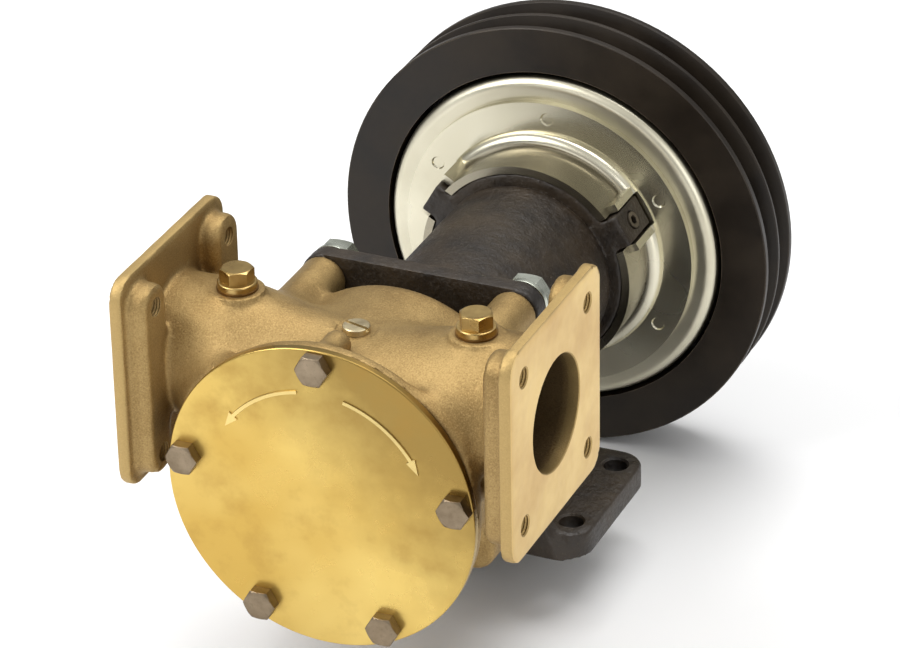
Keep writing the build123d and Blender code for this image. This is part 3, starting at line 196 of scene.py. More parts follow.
def radial(u, v, u0=0.0, v0=0.0):
    """Distance from an axis."""
    return np.sqrt((u - u0) ** 2 + (v - v0) ** 2)


def rounded_rectangle(u, v, half_u, half_v, corner):
    """Signed distance to a rectangle with rounded corners, in its own plane."""
    a = np.abs(u) - half_u + corner
    b = np.abs(v) - half_v + corner
    outside = np.sqrt(np.maximum(a, 0) ** 2 + np.maximum(b, 0) ** 2)
    return outside + np.minimum(np.maximum(a, b), 0) - corner


VOXEL = 0.8
COVER_BOLT_CIRCLE = 62.4
COVER_BOLT_ANGLES = (90.0, 172.5, 243.0, 297.0, 8.0)
LUG_ANGLES = (30.0, 150.0, 270.0)


def cutter(name, rings, place, direction):
    """Closed turned solid for a boolean cut: rings are (distance along the axis, radius), in mm."""
    steps = 96
    points, faces = [], []
    axis = Vector(direction).normalized()
    side = axis.orthogonal().normalized()
    other = axis.cross(side)
    for along, radius in rings:
        for k in range(steps):
            angle = 2 * pi * k / steps
            offset = axis * along + side * (radius * cos(angle)) + other * (radius * sin(angle))
            points.append(offset)
    for ring_number in range(len(rings) - 1):
        first, second = ring_number * steps, (ring_number + 1) * steps
        for k in range(steps):
            after = (k + 1) % steps
            faces.append((first + k, first + after, second + after, second + k))
    faces.append(tuple(range(steps))[::-1])
    faces.append(tuple((len(rings) - 1) * steps + k for k in range(steps)))
    x, along, height = place
    origin = Vector((x, COVER_FACE_Y + along, SHAFT_HEIGHT + height))
    data = bpy.data.meshes.new(name)
    data.from_pydata([(origin + p) * MM for p in points], [], faces)
    data.update()
    return bpy.data.objects.new(name, data)


def bored(name, station, start, end, radius):
    """Cutter for a plain bore on the shaft's axis."""
    return cutter(name, [(start, radius), (end, radius)], (0, station, 0), (0, 1, 0))


def hole(place, direction, radius, depth, flare=0.5):
    """Cutter for a round hole from a face inwards, with a small bevel at its mouth."""
    rings = [(-depth, radius), (-flare, radius), (0.0, radius + flare), (2.0, radius + flare + 2.0)]
    return cutter("hole", rings, place, direction)


def threaded_hole(place, direction, radius, depth, pitch=1.25, groove=0.4):
    """Cutter for a tapped hole: a row of sharp grooves behind a small bevel."""
    rings = []
    along = -depth
    while along < -pitch:
        rings += [(along, radius), (along + pitch / 2, radius + groove)]
        along += pitch
    rings += [(-0.6, radius), (0.0, radius + 0.7), (2.0, radius + 2.7)]
    return cutter("threads", rings, place, direction)


def carve(piece, cutters):
    """Take each cutter out of a piece."""
    collection = bpy.data.collections.new(piece.name + "_cutters")
    for tool in cutters:
        collection.objects.link(tool)
    bpy.context.scene.collection.children.link(collection)
    modifier = piece.modifiers.new("carve", "BOOLEAN")
    modifier.operation = "DIFFERENCE"
    modifier.solver = "MANIFOLD"
    modifier.operand_type = "COLLECTION"
    modifier.collection = collection
    bpy.context.view_layer.update()
    graph = bpy.context.evaluated_depsgraph_get()
    carved = bpy.data.meshes.new_from_object(piece.evaluated_get(graph))
    piece.modifiers.clear()
    piece.data = carved
    for tool in list(collection.objects):
        bpy.data.objects.remove(tool)
    bpy.data.collections.remove(collection)
    carved.shade_smooth()
    carved.set_sharp_from_angle(angle=radians(38))


def cover_bolt_points():
    """Places of the cover bolts as (x, height)."""
    return [
        (COVER_BOLT_CIRCLE * cos(radians(angle)), COVER_BOLT_CIRCLE * sin(radians(angle)))
        for angle in COVER_BOLT_ANGLES
    ]


# ------------------------------------------------------------------ pump body casting
BARREL_RADIUS = 58.7
BARREL_END = 85.0
BODY_FLANGE_RADIUS = 69.2
BODY_FLANGE_END = 9.8
SEAL_BOSS_RADIUS = 22.0
SEAL_BOSS_END = 93.0
COVER_BOSS_RADIUS = 6.0
NECK_MIDDLE_RADIUS = 21.5
NECK_WIDENING = 9.0          # from the middle of the body to a plug
NECK_END_X = 86.0
MOUNT_BOSS_RADIUS = 10.5
PORT_HOLE_OFFSET = 34.5      # from the port's axis, across and up
PORT_BORE_RADIUS = 25.4
PLUG_BOSS_RADIUS = 11.6
CAM_PAD_RADIUS = 7.9
CHAMBER_RADIUS = 48.2
CHAMBER_LENGTH = 65.7
SEAL_POCKET_RADIUS = 18.0


def cast_pump_body():
    """Bronze casting with filleted necks, bosses and port flanges."""
    field = Field((-PORT_FACE_X - 3, -11, -73), (PORT_FACE_X + 3, PLATE_START + 3, 90), VOXEL)
    x, s, h, mx = field.x, field.s, field.h, field.mirrored_x
    from_axis = radial(x, h)
    field.join(rounded_solid(from_axis - BARREL_RADIUS, span(s, 0, BARREL_END), 2.5), 1.0)
    body_flange = span(s, BODY_START - 3, BODY_FLANGE_END)
    field.join(rounded_solid(from_axis - BODY_FLANGE_RADIUS, body_flange, 1.2), 7.0)
    field.join(rounded_solid(from_axis - SEAL_BOSS_RADIUS, span(s, 70.0, SEAL_BOSS_END), 1.0), 6.0)
    for bolt_x, bolt_height in cover_bolt_points():
        boss = radial(x, h, bolt_x, bolt_height) - COVER_BOSS_RADIUS
        field.join(rounded_solid(boss, span(s, BODY_START, 24.5), 2.6), 2.4)
    # necks: a pipe that narrows from the plug to the middle of the body
    reach = np.clip(mx / PLUG_X, 0, 1)
    swell = reach * reach * (3 - 2 * reach)
    neck_radius = NECK_MIDDLE_RADIUS + NECK_WIDENING * reach
    neck = radial(s, h, PORT_STATION, PORT_HEIGHT - 1 + reach) - neck_radius
    field.join(rounded_solid(0.96 * neck, mx - NECK_END_X, 0.5), 1.5 + 13.0 * swell)
    for height in (-MOUNT_HEIGHT, MOUNT_HEIGHT):
        boss = radial(mx, h, MOUNT_X, height) - MOUNT_BOSS_RADIUS
        field.join(rounded_solid(boss, span(s, 54.0, PLATE_START + 3), 3.0), 6.5)
    # flange plates and the pads behind their holes
    across, up = s - PORT_STATION, h - PORT_HEIGHT
    pad = rounded_rectangle(np.abs(across) - PORT_HOLE_OFFSET, up, 10.2, 44.0, 9.5)
    field.join(rounded_solid(pad, span(mx, PORT_FACE_X - 14.7, PORT_FACE_X - 2), 3.0), 3.5)
    plate = rounded_rectangle(across, up, FLANGE_HALF_WIDTH, FLANGE_HALF_WIDTH, 10.0)
    field.join(rounded_solid(plate, span(mx, PORT_FACE_X - 5.6, PORT_FACE_X + 0.4), 1.3), 3.0)
    # plug bosses and the pad under the cam screw
    plug = radial(mx, s, PLUG_X, PORT_STATION)
    field.join(rounded_solid(plug - PLUG_BOSS_RADIUS, span(h, 55.0, PLUG_SEAT + 0.1), 0.6), 3.0)
    screw = radial(x, s, 0.0, PORT_STATION)
    field.join(rounded_solid(screw - CAM_PAD_RADIUS, span(h, 50.0, CAM_SCREW_SEAT + 0.3), 0.5), 2.0)
    field.ripple(0.07, 19.0)
    # machined faces
    field.cut(np.maximum(s - BODY_START, mx - 74.0), 0.6)
    field.cut(PLATE_START - s, 0.6)
    field.cut(PORT_FACE_X - mx, 0.9)
    field.cut(rounded_solid(plug - 11.9, span(h, PLUG_SEAT, 90.0), 0), 0.5)
    field.cut(rounded_solid(screw - 9.0, span(h, CAM_SCREW_SEAT, 80.0), 0), 0.5)
    body = field.mesh("cast_pump_body")
    tools = [
        bored("chamber", BODY_START, -3, CHAMBER_LENGTH, CHAMBER_RADIUS),
        bored("seal_pocket", 70.0, -1, 12.0, SEAL_POCKET_RADIUS),
        bored("shaft_bore", 81.0, -1, 13.0, 11.0),
        bored("lip_seal_bore", SEAL_BOSS_END, -7.0, 1.0, 16.0),
    ]
    for side in (-1, 1):
        port_rings = [
            (2.0, 27.8),
            (0.0, PORT_BORE_RADIUS + 0.5),
            (-0.5, PORT_BORE_RADIUS),
            (60.0 - PORT_FACE_X, PORT_BORE_RADIUS),
            (24.0 - PORT_FACE_X, 16.0),
        ]
        mouth = (side * PORT_FACE_X, PORT_STATION, PORT_HEIGHT)
        tools.append(cutter("port", port_rings[::-1], mouth, (side, 0, 0)))
        for across_hole in (-PORT_HOLE_OFFSET, PORT_HOLE_OFFSET):
            for up_hole in (-PORT_HOLE_OFFSET, PORT_HOLE_OFFSET):
                place = (side * PORT_FACE_X, PORT_STATION + across_hole, PORT_HEIGHT + up_hole)
                tools.append(threaded_hole(place, (side, 0, 0), 4.2, 17.0))
        tools.append(hole((side * PLUG_X, PORT_STATION, PLUG_SEAT), (0, 0, 1), 5.0, 12.0))
        for height in (-MOUNT_HEIGHT, MOUNT_HEIGHT):
            tools.append(hole((side * MOUNT_X, PLATE_START, height), (0, 1, 0), 6.0, 19.6))
    for bolt_x, bolt_height in cover_bolt_points():
        tools.append(hole((bolt_x, BODY_START, bolt_height), (0, -1, 0), 4.0, 15.7))
    tools.append(hole((0, PORT_STATION, CAM_SCREW_SEAT), (0, 0, 1), 3.0, 20.0, flare=0.2))
    carve(body, tools)
    return body


# ------------------------------------------------------------------ pedestal casting
TUBE_RADIUS = 42.5
TUBE_END = 221.5
SHOULDER_RADIUS = 47.2
SHOULDER_END = 250.0
NOSE_END = 284.0
PLATE_THICKNESS = 9.7
FOOT_THICKNESS = 12.0
FOOT_HALF_LENGTH = 40.0
FOOT_HOLE_X = 63.0
FOOT_HOLE_Y = 26.5
FOOT_HOLE_RADIUS = 5.5
LUG_FLAT = 54.9
LUG_HALF_WIDTH = 7.5
SET_SCREW_STATION = 236.0
SET_SCREW_RADIUS = 4.0
BEARING_OUTER = 26.0
REAR_BEARING = 264.0


def cast_pedestal():
    """Black iron casting: front plate, bearing tube, web, foot, clamping lugs and nose."""
    low = (-FOOT_HALF_WIDTH - 3, PLATE_START - 3, FOOT_HEIGHT - 3)
    high = (FOOT_HALF_WIDTH + 3, NOSE_END + 3, 60)
    field = Field(low, high, VOXEL)
    x, s, h, mx = field.x, field.s, field.h, field.mirrored_x
    from_axis = radial(x, h)
    field.join(rounded_solid(from_axis - TUBE_RADIUS, span(s, PLATE_START + 1, TUBE_END), 1.5), 1.0)
    plate = rounded_rectangle(x, h, MOUNT_X + EAR_RADIUS, MOUNT_HEIGHT + EAR_RADIUS, EAR_RADIUS)
    through_plate = span(s, PLATE_START, PLATE_START + PLATE_THICKNESS)
    field.join(rounded_solid(plate, through_plate, 1.4), 7.0)
    column_side = 0.93 * (mx - 52.0 - 0.38 * (-MOUNT_HEIGHT - h))
    column = np.maximum(column_side, span(h, FOOT_HEIGHT + 2, -40.0))
    field.join(rounded_solid(column, through_plate, 1.4), 4.0)
    web_end = 176.0 - 0.4 * (h + 40.0)
    web_front = np.maximum(PLATE_START + 5 - s, span(h, FOOT_HEIGHT + 2, -36.0))
    web = np.maximum(0.92 * (s - web_end), web_front)
    field.join(rounded_solid(mx - 8.0, web, 2.0), 8.0)
    foot_plan = rounded_rectangle(x, s + COVER_FACE_Y, FOOT_HALF_WIDTH, FOOT_HALF_LENGTH, 12.0)
    through_foot = span(h, FOOT_HEIGHT - 3, FOOT_HEIGHT + FOOT_THICKNESS)
    field.join(rounded_solid(foot_plan, through_foot, 2.2), 8.0)
    # shoulder ring behind a groove, then the stepped nose inside the pulley
    field.join(rounded_solid(from_axis - 40.8, span(s, 215.0, 226.0), 0.0), 0.8)
    field.join(rounded_solid(from_axis - SHOULDER_RADIUS, span(s, 222.6, SHOULDER_END), 1.6), 0.8)
    field.join(rounded_solid(from_axis - 34.0, span(s, 245.0, 257.0), 0.5), 0.6)
    field.join(rounded_solid(from_axis - 30.0, span(s, SHOULDER_END, NOSE_END), 0.6), 0.6)
    for angle in LUG_ANGLES:
        out = x * cos(radians(angle)) + h * sin(radians(angle))
        side = -x * sin(radians(angle)) + h * cos(radians(angle))
        lug = rounded_solid(span(out, 40.0, LUG_FLAT), np.abs(side) - LUG_HALF_WIDTH, 0.9)
        field.join(rounded_solid(lug, span(s, 223.0, 248.5), 0.9), 2.4)
    field.ripple(0.05, 16.0)
    # machined faces
    field.cut(s - PLATE_START, 0.6)
    field.cut(h - FOOT_HEIGHT, 0.6)
    pedestal = field.mesh("cast_pedestal")
    mouth, bore = BEARING_OUTER + 0.5, BEARING_OUTER
    front_rings = [(-3, mouth + 1), (0.0, mouth), (0.5, bore), (25.4, bore)]
    rear_rings = [(0, bore), (19.5, bore), (20.0, mouth), (22.0, mouth + 1)]
    tools = [
        cutter("front_bore", front_rings, (0, PLATE_START, 0), (0, 1, 0)),
        bored("shoulder_bore", 125.0, -3, 140.0, 22.0),
        cutter("rear_bore", rear_rings, (0, REAR_BEARING, 0), (0, 1, 0)),
    ]
    for height in (-MOUNT_HEIGHT, MOUNT_HEIGHT):
        for side in (-1, 1):
            tools.append(hole((side * MOUNT_X, PLATE_START, height), (0, -1, 0), 6.5, 14.0))
    for side in (-1, 1):
        for along in (-FOOT_HOLE_Y, FOOT_HOLE_Y):
            place = (side * FOOT_HOLE_X, along - COVER_FACE_Y, FOOT_HEIGHT + FOOT_THICKNESS)
            tools.append(hole(place, (0, 0, 1), FOOT_HOLE_RADIUS, 16.0, flare=0.8))
    for angle in LUG_ANGLES:
        direction = (cos(radians(angle)), 0, sin(radians(angle)))
        place = (LUG_FLAT * direction[0], SET_SCREW_STATION, LUG_FLAT * direction[2])
        tools.append(hole(place, direction, SET_SCREW_RADIUS, 11.0, flare=0.7))
    carve(pedestal, tools)
    return pedestal


# ------------------------------------------------------------------ pieces refined from CAD nodes
def refined(node, bevel, sharp=28):
    """Copy of a CAD node's mesh with its sharp edges rounded."""
    data = bpy.data.meshes.new(node + "_finished")
    bm = bmesh.new()
    bm.from_mesh(frame["nodes"][node].data)
    bmesh.ops.remove_doubles(bm, verts=bm.verts, dist=2e-6)
    bmesh.ops.dissolve_limit(bm, angle_limit=radians(0.6), verts=bm.verts, edges=bm.edges)
    limit = radians(sharp)
    corners = [edge for edge in bm.edges if edge.is_manifold and edge.calc_face_angle() > limit]
    bmesh.ops.bevel(
        bm,
        geom=corners,
        offset=bevel * MM,
        offset_type="OFFSET",
        segments=2,
        profile=0.5,
        affect="EDGES",
        clamp_overlap=True,
    )
    bm.to_mesh(data)
    bm.free()
    data.shade_smooth()
    data.set_sharp_from_angle(angle=radians(sharp))
    piece = bpy.data.objects.new(node + "_finished", data)
    bpy.context.scene.collection.objects.link(piece)
    flat = piece.modifiers.new("flat_faces", "WEIGHTED_NORMAL")
    flat.mode = "FACE_AREA_WITH_ANGLE"
    flat.weight = 100
    flat.keep_sharp = True
    return piece


# ------------------------------------------------------------------ finishes
def srgb(red, green, blue):
    """Linear colour from the 0 to 255 values of a display colour."""
    values = [c / 255 for c in (red, green, blue)]
    linear = [c / 12.92 if c <= 0.04045 else ((c + 0.055) / 1.055) ** 2.4 for c in values]
    return (*linear, 1.0)


class Finish:
    """Shader network of one material, put together from noise, masks and mixes."""

    def __init__(self, name, metallic, roughness):
        self.material = bpy.data.materials.new(name)
        self.material.use_nodes = True
        self.tree = self.material.node_tree
        self.shader = self.tree.nodes["Principled BSDF"]
        self.shader.inputs["Metallic"].default_value = metallic
        self.shader.inputs["Roughness"].default_value = roughness
        self.coordinates = self.tree.nodes.new("ShaderNodeTexCoord")
        self.height = None

    def put(self, socket, value):
        """Link a socket to a socket, or set its value."""
        if isinstance(value, bpy.types.NodeSocket):
            self.tree.links.new(value, socket)
        else:
            socket.default_value = value

    def noise(self, scale, detail=4.0, roughness=0.55, stretch=(1, 1, 1)):
        """Noise from 0 to 1 in the piece's own space; scale is in waves per metre."""
        mapping = self.tree.nodes.new("ShaderNodeMapping")
        mapping.inputs["Scale"].default_value = stretch
        self.put(mapping.inputs["Vector"], self.coordinates.outputs["Object"])
        noise = self.tree.nodes.new("ShaderNodeTexNoise")
        noise.inputs["Scale"].default_value = scale
        noise.inputs["Detail"].default_value = detail
        noise.inputs["Roughness"].default_value = roughness
        self.put(noise.inputs["Vector"], mapping.outputs["Vector"])
        return noise.outputs["Fac"]

    def fit(self, value, low, high, to_low=0.0, to_high=1.0):
        """Stretch a range of values to another one, clamped."""
        node = self.tree.nodes.new("ShaderNodeMapRange")
        for socket, number in zip(node.inputs[:5], (value, low, high, to_low, to_high)):
            self.put(socket, number)
        return node.outputs["Result"]

    def math(self, operation, a, b=0.0):
        """One arithmetic step."""
        node = self.tree.nodes.new("ShaderNodeMath")
        node.operation = operation
        self.put(node.inputs[0], a)
        self.put(node.inputs[1], b)
        return node.outputs[0]

    def mix(self, factor, a, b):
        """Blend two colours."""
        node = self.tree.nodes.new("ShaderNodeMix")
        node.data_type = "RGBA"
        self.put(node.inputs[0], factor)
        self.put(node.inputs[6], a)
        self.put(node.inputs[7], b)
        return node.outputs[2]

    def part(self, source, axis):
        """One coordinate of the piece's own position or normal."""
        node = self.tree.nodes.new("ShaderNodeSeparateXYZ")
        self.put(node.inputs[0], self.coordinates.outputs[source])
        return node.outputs[axis]

    def facing(self, axis, low=0.93, high=0.99):
        """Mask of the faces square to an axis."""
        return self.fit(self.math("ABSOLUTE", self.part("Normal", axis)), low, high)

    def beyond(self, value, limit, softness=0.0004):
        """Mask of the places where a value is more than a limit."""
        return self.fit(value, limit - softness, limit + softness)

    def distance(self, a, b):
        """Length of the hypotenuse over two sides."""
        squares = [self.math("MULTIPLY", side, side) for side in (a, b)]
        return self.math("SQRT", self.math("ADD", *squares))

    def shaft_radius(self):
        """Distance from the shaft's axis, in metres."""
        x = self.part("Object", 0)
        z = self.math("SUBTRACT", self.part("Object", 2), SHAFT_HEIGHT * MM)
        return self.distance(x, z)

    def out(self):
        """Distance from the middle plane, in metres."""
        return self.math("ABSOLUTE", self.part("Object", 0))

    def port_bore(self):
        """Mask of the inside of the two ports."""
        y = self.math("SUBTRACT", self.part("Object", 1), (COVER_FACE_Y + PORT_STATION) * MM)
        z = self.math("SUBTRACT", self.part("Object", 2), (SHAFT_HEIGHT + PORT_HEIGHT) * MM)
        inside = self.fit(self.distance(y, z), 0.0262, 0.0257)
        out = self.out()
        depth = self.fit(out, PORT_FACE_X * MM, (PORT_FACE_X - 8) * MM)
        inside = self.math("MULTIPLY", inside, self.beyond(out, 0.05))
        return self.math("MULTIPLY", inside, depth)

    def painted_corner_shade(self, distance=0.008):
        """Mask of the inner corners, where ambient occlusion puts shade, for painting shade into a
        colour.
        """
        node = self.tree.nodes.new("ShaderNodeAmbientOcclusion")
        node.samples = 6
        node.inputs["Distance"].default_value = distance
        return self.fit(node.outputs["AO"], 0.45, 0.95, 1.0, 0.0)

    def edges(self, radius=0.0007):
        """Mask of the outer edges, used for a coat worn through and for painted edge highlights."""
        bevel = self.tree.nodes.new("ShaderNodeBevel")
        bevel.samples = 4
        bevel.inputs["Radius"].default_value = radius
        geometry = self.tree.nodes.new("ShaderNodeNewGeometry")
        product = self.tree.nodes.new("ShaderNodeVectorMath")
        product.operation = "DOT_PRODUCT"
        self.put(product.inputs[0], bevel.outputs["Normal"])
        self.put(product.inputs[1], geometry.outputs["Normal"])
        return self.fit(product.outputs["Value"], 0.985, 0.90)

    def bump(self, height, depth):
        """Relief of a height from 0 to 1, depth in metres; further calls add to it."""
        node = self.tree.nodes.new("ShaderNodeBump")
        node.inputs["Distance"].default_value = depth
        self.put(node.inputs["Height"], height)
        if self.height is not None:
            self.put(node.inputs["Normal"], self.height)
        self.height = node.outputs["Normal"]
        self.put(self.shader.inputs["Normal"], self.height)

    def colour(self, value):
        self.put(self.shader.inputs["Base Color"], value)

    def roughness(self, value):
        self.put(self.shader.inputs["Roughness"], value)


def cast_bronze():
    """Blasted casting, tan and grainy, with lighter machined faces and painted brown shade in the
    corners.
    """
    finish = Finish("bronze_casting", 0.85, 0.5)
    clouds = finish.noise(38, 5)
    grain = finish.noise(1400, 3, 0.6)
    skin = finish.mix(finish.fit(clouds, 0.35, 0.68), srgb(146, 120, 75), srgb(170, 144, 95))
    skin = finish.mix(finish.fit(grain, 0.5, 0.72, 0, 0.45), skin, srgb(204, 174, 118))
    skin = finish.mix(finish.fit(grain, 0.46, 0.3, 0, 0.5), skin, srgb(120, 92, 54))
    # painted shade: inner corners darkened to brown by ambient occlusion
    skin = finish.mix(finish.math("MULTIPLY", finish.painted_corner_shade(0.006), 0.5), skin, srgb(98, 70, 38))
    flange = finish.beyond(finish.out(), (PORT_FACE_X - 5.2) * MM)
    skin = finish.mix(finish.math("MULTIPLY", flange, 0.6), skin, srgb(190, 163, 108))
    skin = finish.mix(finish.math("MULTIPLY", finish.port_bore(), 0.8), skin, srgb(58, 44, 30))
    x_face = finish.math(
        "MULTIPLY",
        finish.facing(0),
        finish.beyond(finish.out(), (PORT_FACE_X - 0.4) * MM, 0.0002),
    )
    stains = finish.noise(24, 4, 0.6)
    clean = finish.mix(finish.fit(stains, 0.4, 0.66), srgb(218, 188, 122), srgb(196, 160, 96))
    finish.colour(finish.mix(x_face, skin, clean))
    rough = finish.fit(clouds, 0.3, 0.7, 0.46, 0.58)
    finish.roughness(finish.fit(x_face, 0, 1, rough, 0.36))
    depth = finish.math("MULTIPLY", grain, finish.fit(x_face, 0, 1, 1.0, 0.12))
    finish.bump(depth, 0.0002)
    finish.bump(finish.noise(120, 3), 0.00022)
    return finish.material


def cover_brass():
    """Rolled brass sheet, brushed lightly, with painted shade towards the upper right and painted
    highlights on the bright arrows.
    """
    finish = Finish("cover_brass", 1.0, 0.3)
    stains = finish.noise(30, 6, 0.62)
    clouds = finish.noise(12, 3)
    scratches = finish.noise(420, 3, 0.6, stretch=(0.12, 1, 1))
    base = finish.mix(finish.fit(clouds, 0.35, 0.65), srgb(196, 162, 84), srgb(218, 190, 112))
    corner = finish.math("ADD", finish.part("Object", 0), finish.part("Object", 2))
    spread = finish.math("ADD", corner, finish.math("MULTIPLY", stains, 0.08))
    # painted shade: the cover darkens along a diagonal towards the upper right
    upper_right_painted_shade = finish.fit(spread, 0.11, 0.19, 0, 0.9)
    base = finish.mix(upper_right_painted_shade, base, srgb(140, 114, 62))
    base = finish.mix(finish.fit(stains, 0.52, 0.7, 0, 0.45), base, srgb(164, 128, 64))
    relief = [(COVER_FACE_Y - height) * MM for height in (0.2, 0.5)]
    # painted highlight: the raised arrows are lightened to stand in for the glints on their edges
    arrow_painted_highlight = finish.fit(finish.part("Object", 1), *relief, 0, 0.45)
    finish.colour(finish.mix(arrow_painted_highlight, base, srgb(250, 228, 158)))
    finish.roughness(finish.fit(stains, 0.35, 0.7, 0.24, 0.42))
    finish.bump(scratches, 0.00006)
    finish.bump(finish.noise(26, 3), 0.0003)
    return finish.material


def metal(name, light, dark, roughness, grain=500, relief=0.00005, metallic=1.0, spread=0.5):
    """Plain machined or rolled metal with cloudy tone, fine marks and dull patches."""
    finish = Finish(name, metallic, roughness)
    clouds = finish.noise(60, 5, 0.6)
    marks = finish.noise(grain, 3, 0.6)
    tone = finish.mix(finish.fit(clouds, 0.5 - spread / 2, 0.5 + spread / 2), dark, light)
    tone = finish.mix(finish.fit(marks, 0.55, 0.75, 0, 0.35), tone, dark)
    finish.colour(tone)
    finish.roughness(finish.fit(clouds, 0.3, 0.7, roughness * 0.75, min(roughness * 1.35, 1.0)))
    finish.bump(marks, relief)
    return finish.material


def bolt_steel():
    """Dull brown stainless cover bolts and a brighter screw on top of the body."""
    finish = Finish("stainless_bolt", 1.0, 0.38)
    clouds = finish.noise(60, 5, 0.6)
    marks = finish.noise(500, 3, 0.6)
    bolt = finish.mix(finish.fit(clouds, 0.25, 0.75), srgb(92, 78, 60), srgb(156, 140, 118))
    screw = finish.mix(finish.fit(clouds, 0.25, 0.75), srgb(150, 132, 98), srgb(214, 200, 164))
    behind = finish.beyond(finish.part("Object", 1), (COVER_FACE_Y + PORT_STATION - 10) * MM)
    tone = finish.mix(behind, bolt, screw)
    finish.colour(finish.mix(finish.fit(marks, 0.55, 0.75, 0, 0.3), tone, srgb(86, 72, 54)))
    finish.roughness(finish.fit(clouds, 0.3, 0.7, 0.3, 0.46))
    finish.bump(marks, 0.0001)
    return finish.material


def black_iron():
    """Painted rough casting: thick satin black paint over grainy iron."""
    finish = Finish("black_cast_iron", 0.0, 0.42)
    finish.shader.inputs["Specular IOR Level"].default_value = 0.46
    clouds = finish.noise(45, 5)
    grain = finish.noise(620, 4, 0.6)
    tone = finish.mix(finish.fit(clouds, 0.35, 0.7), srgb(24, 17, 10), srgb(50, 39, 25))
    tone = finish.mix(finish.fit(grain, 0.58, 0.74, 0, 0.4), tone, srgb(84, 75, 62))
    patches = finish.fit(finish.noise(130, 4), 0.45, 0.6)
    wear_and_edge_highlight = finish.math("MULTIPLY", finish.edges(0.0006), patches)
    tone = finish.mix(finish.math("MULTIPLY", wear_and_edge_highlight, 0.5), tone, srgb(120, 106, 88))
    finish.colour(tone)
    finish.roughness(finish.fit(grain, 0.3, 0.7, 0.34, 0.6))
    finish.bump(grain, 0.0003)
    finish.bump(finish.noise(170, 4), 0.0007)
    return finish.material


def pulley_paint():
    """Smooth satin black coat with painted highlights along the rims."""
    finish = Finish("pulley_black", 0.0, 0.38)
    finish.shader.inputs["Specular IOR Level"].default_value = 0.3
    clouds = finish.noise(30, 5)
    marks = finish.noise(700, 3, 0.6)
    tone = finish.mix(finish.fit(clouds, 0.35, 0.7), srgb(24, 18, 12), srgb(40, 32, 22))
    patches = finish.fit(finish.noise(90, 3), 0.35, 0.55)
    # painted highlight: thin bright lines along the rim edges, broken up by patches
    wear_and_edge_highlight = finish.math("MULTIPLY", finish.edges(0.0005), patches)
    tone = finish.mix(finish.math("MULTIPLY", wear_and_edge_highlight, 0.6), tone, srgb(150, 134, 112))
    finish.colour(tone)
    finish.roughness(finish.fit(clouds, 0.3, 0.7, 0.3, 0.46))
    finish.bump(marks, 0.00004)
    return finish.material


def spun_zinc(name, roughness, anisotropy):
    """Zinc plate on a spun or drawn sheet: creamy silver in sectors, with a painted dark reflection on
    the collar.
    """
    finish = Finish(name, 1.0, roughness)
    tangent = finish.tree.nodes.new("ShaderNodeTangent")
    tangent.direction_type = "RADIAL"
    tangent.axis = "Y"
    finish.put(finish.shader.inputs["Tangent"], tangent.outputs["Tangent"])
    finish.shader.inputs["Anisotropic"].default_value = anisotropy
    clouds = finish.noise(14, 3, 0.5)
    spots = finish.noise(90, 4, 0.6)
    tone = finish.mix(finish.fit(clouds, 0.35, 0.66), srgb(188, 182, 160), srgb(220, 215, 194))
    tone = finish.mix(finish.fit(spots, 0.6, 0.72, 0, 0.12), tone, srgb(160, 152, 130))
    # painted reflection: the collar is darkened to stand in for the dark surroundings it mirrors
    collar_painted_reflection = finish.fit(finish.shaft_radius(), 0.0550, 0.0515, 0, 0.6)
    finish.colour(finish.mix(collar_painted_reflection, tone, srgb(112, 104, 90)))
    finish.roughness(finish.fit(clouds, 0.35, 0.7, roughness * 0.9, roughness * 1.2))
    finish.bump(finish.noise(12, 2), 0.00015)
    finish.bump(finish.noise(700, 3), 0.00001)
    return finish.material


def rubber(name, tone):
    """Moulded rubber with bloom."""
    finish = Finish(name, 0.0, 0.6)
    clouds = finish.noise(70, 4)
    bloom = (*[c * 1.9 for c in tone[:3]], 1.0)
    finish.colour(finish.mix(finish.fit(clouds, 0.35, 0.7), tone, bloom))
    finish.roughness(finish.fit(clouds, 0.3, 0.7, 0.5, 0.72))
    finish.bump(finish.noise(900, 2), 0.00003)
    return finish.material


def winding():
    """Lacquered copper wire wound in layers."""
    finish = Finish("winding", 0.9, 0.34)
    wave = finish.tree.nodes.new("ShaderNodeTexWave")
    wave.bands_direction = "Y"
    wave.inputs["Scale"].default_value = 900
    finish.put(wave.inputs["Vector"], finish.coordinates.outputs["Object"])
    finish.colour(finish.mix(wave.outputs["Fac"], srgb(96, 44, 20), srgb(190, 104, 56)))
    finish.bump(wave.outputs["Fac"], 0.0003)
    return finish.material


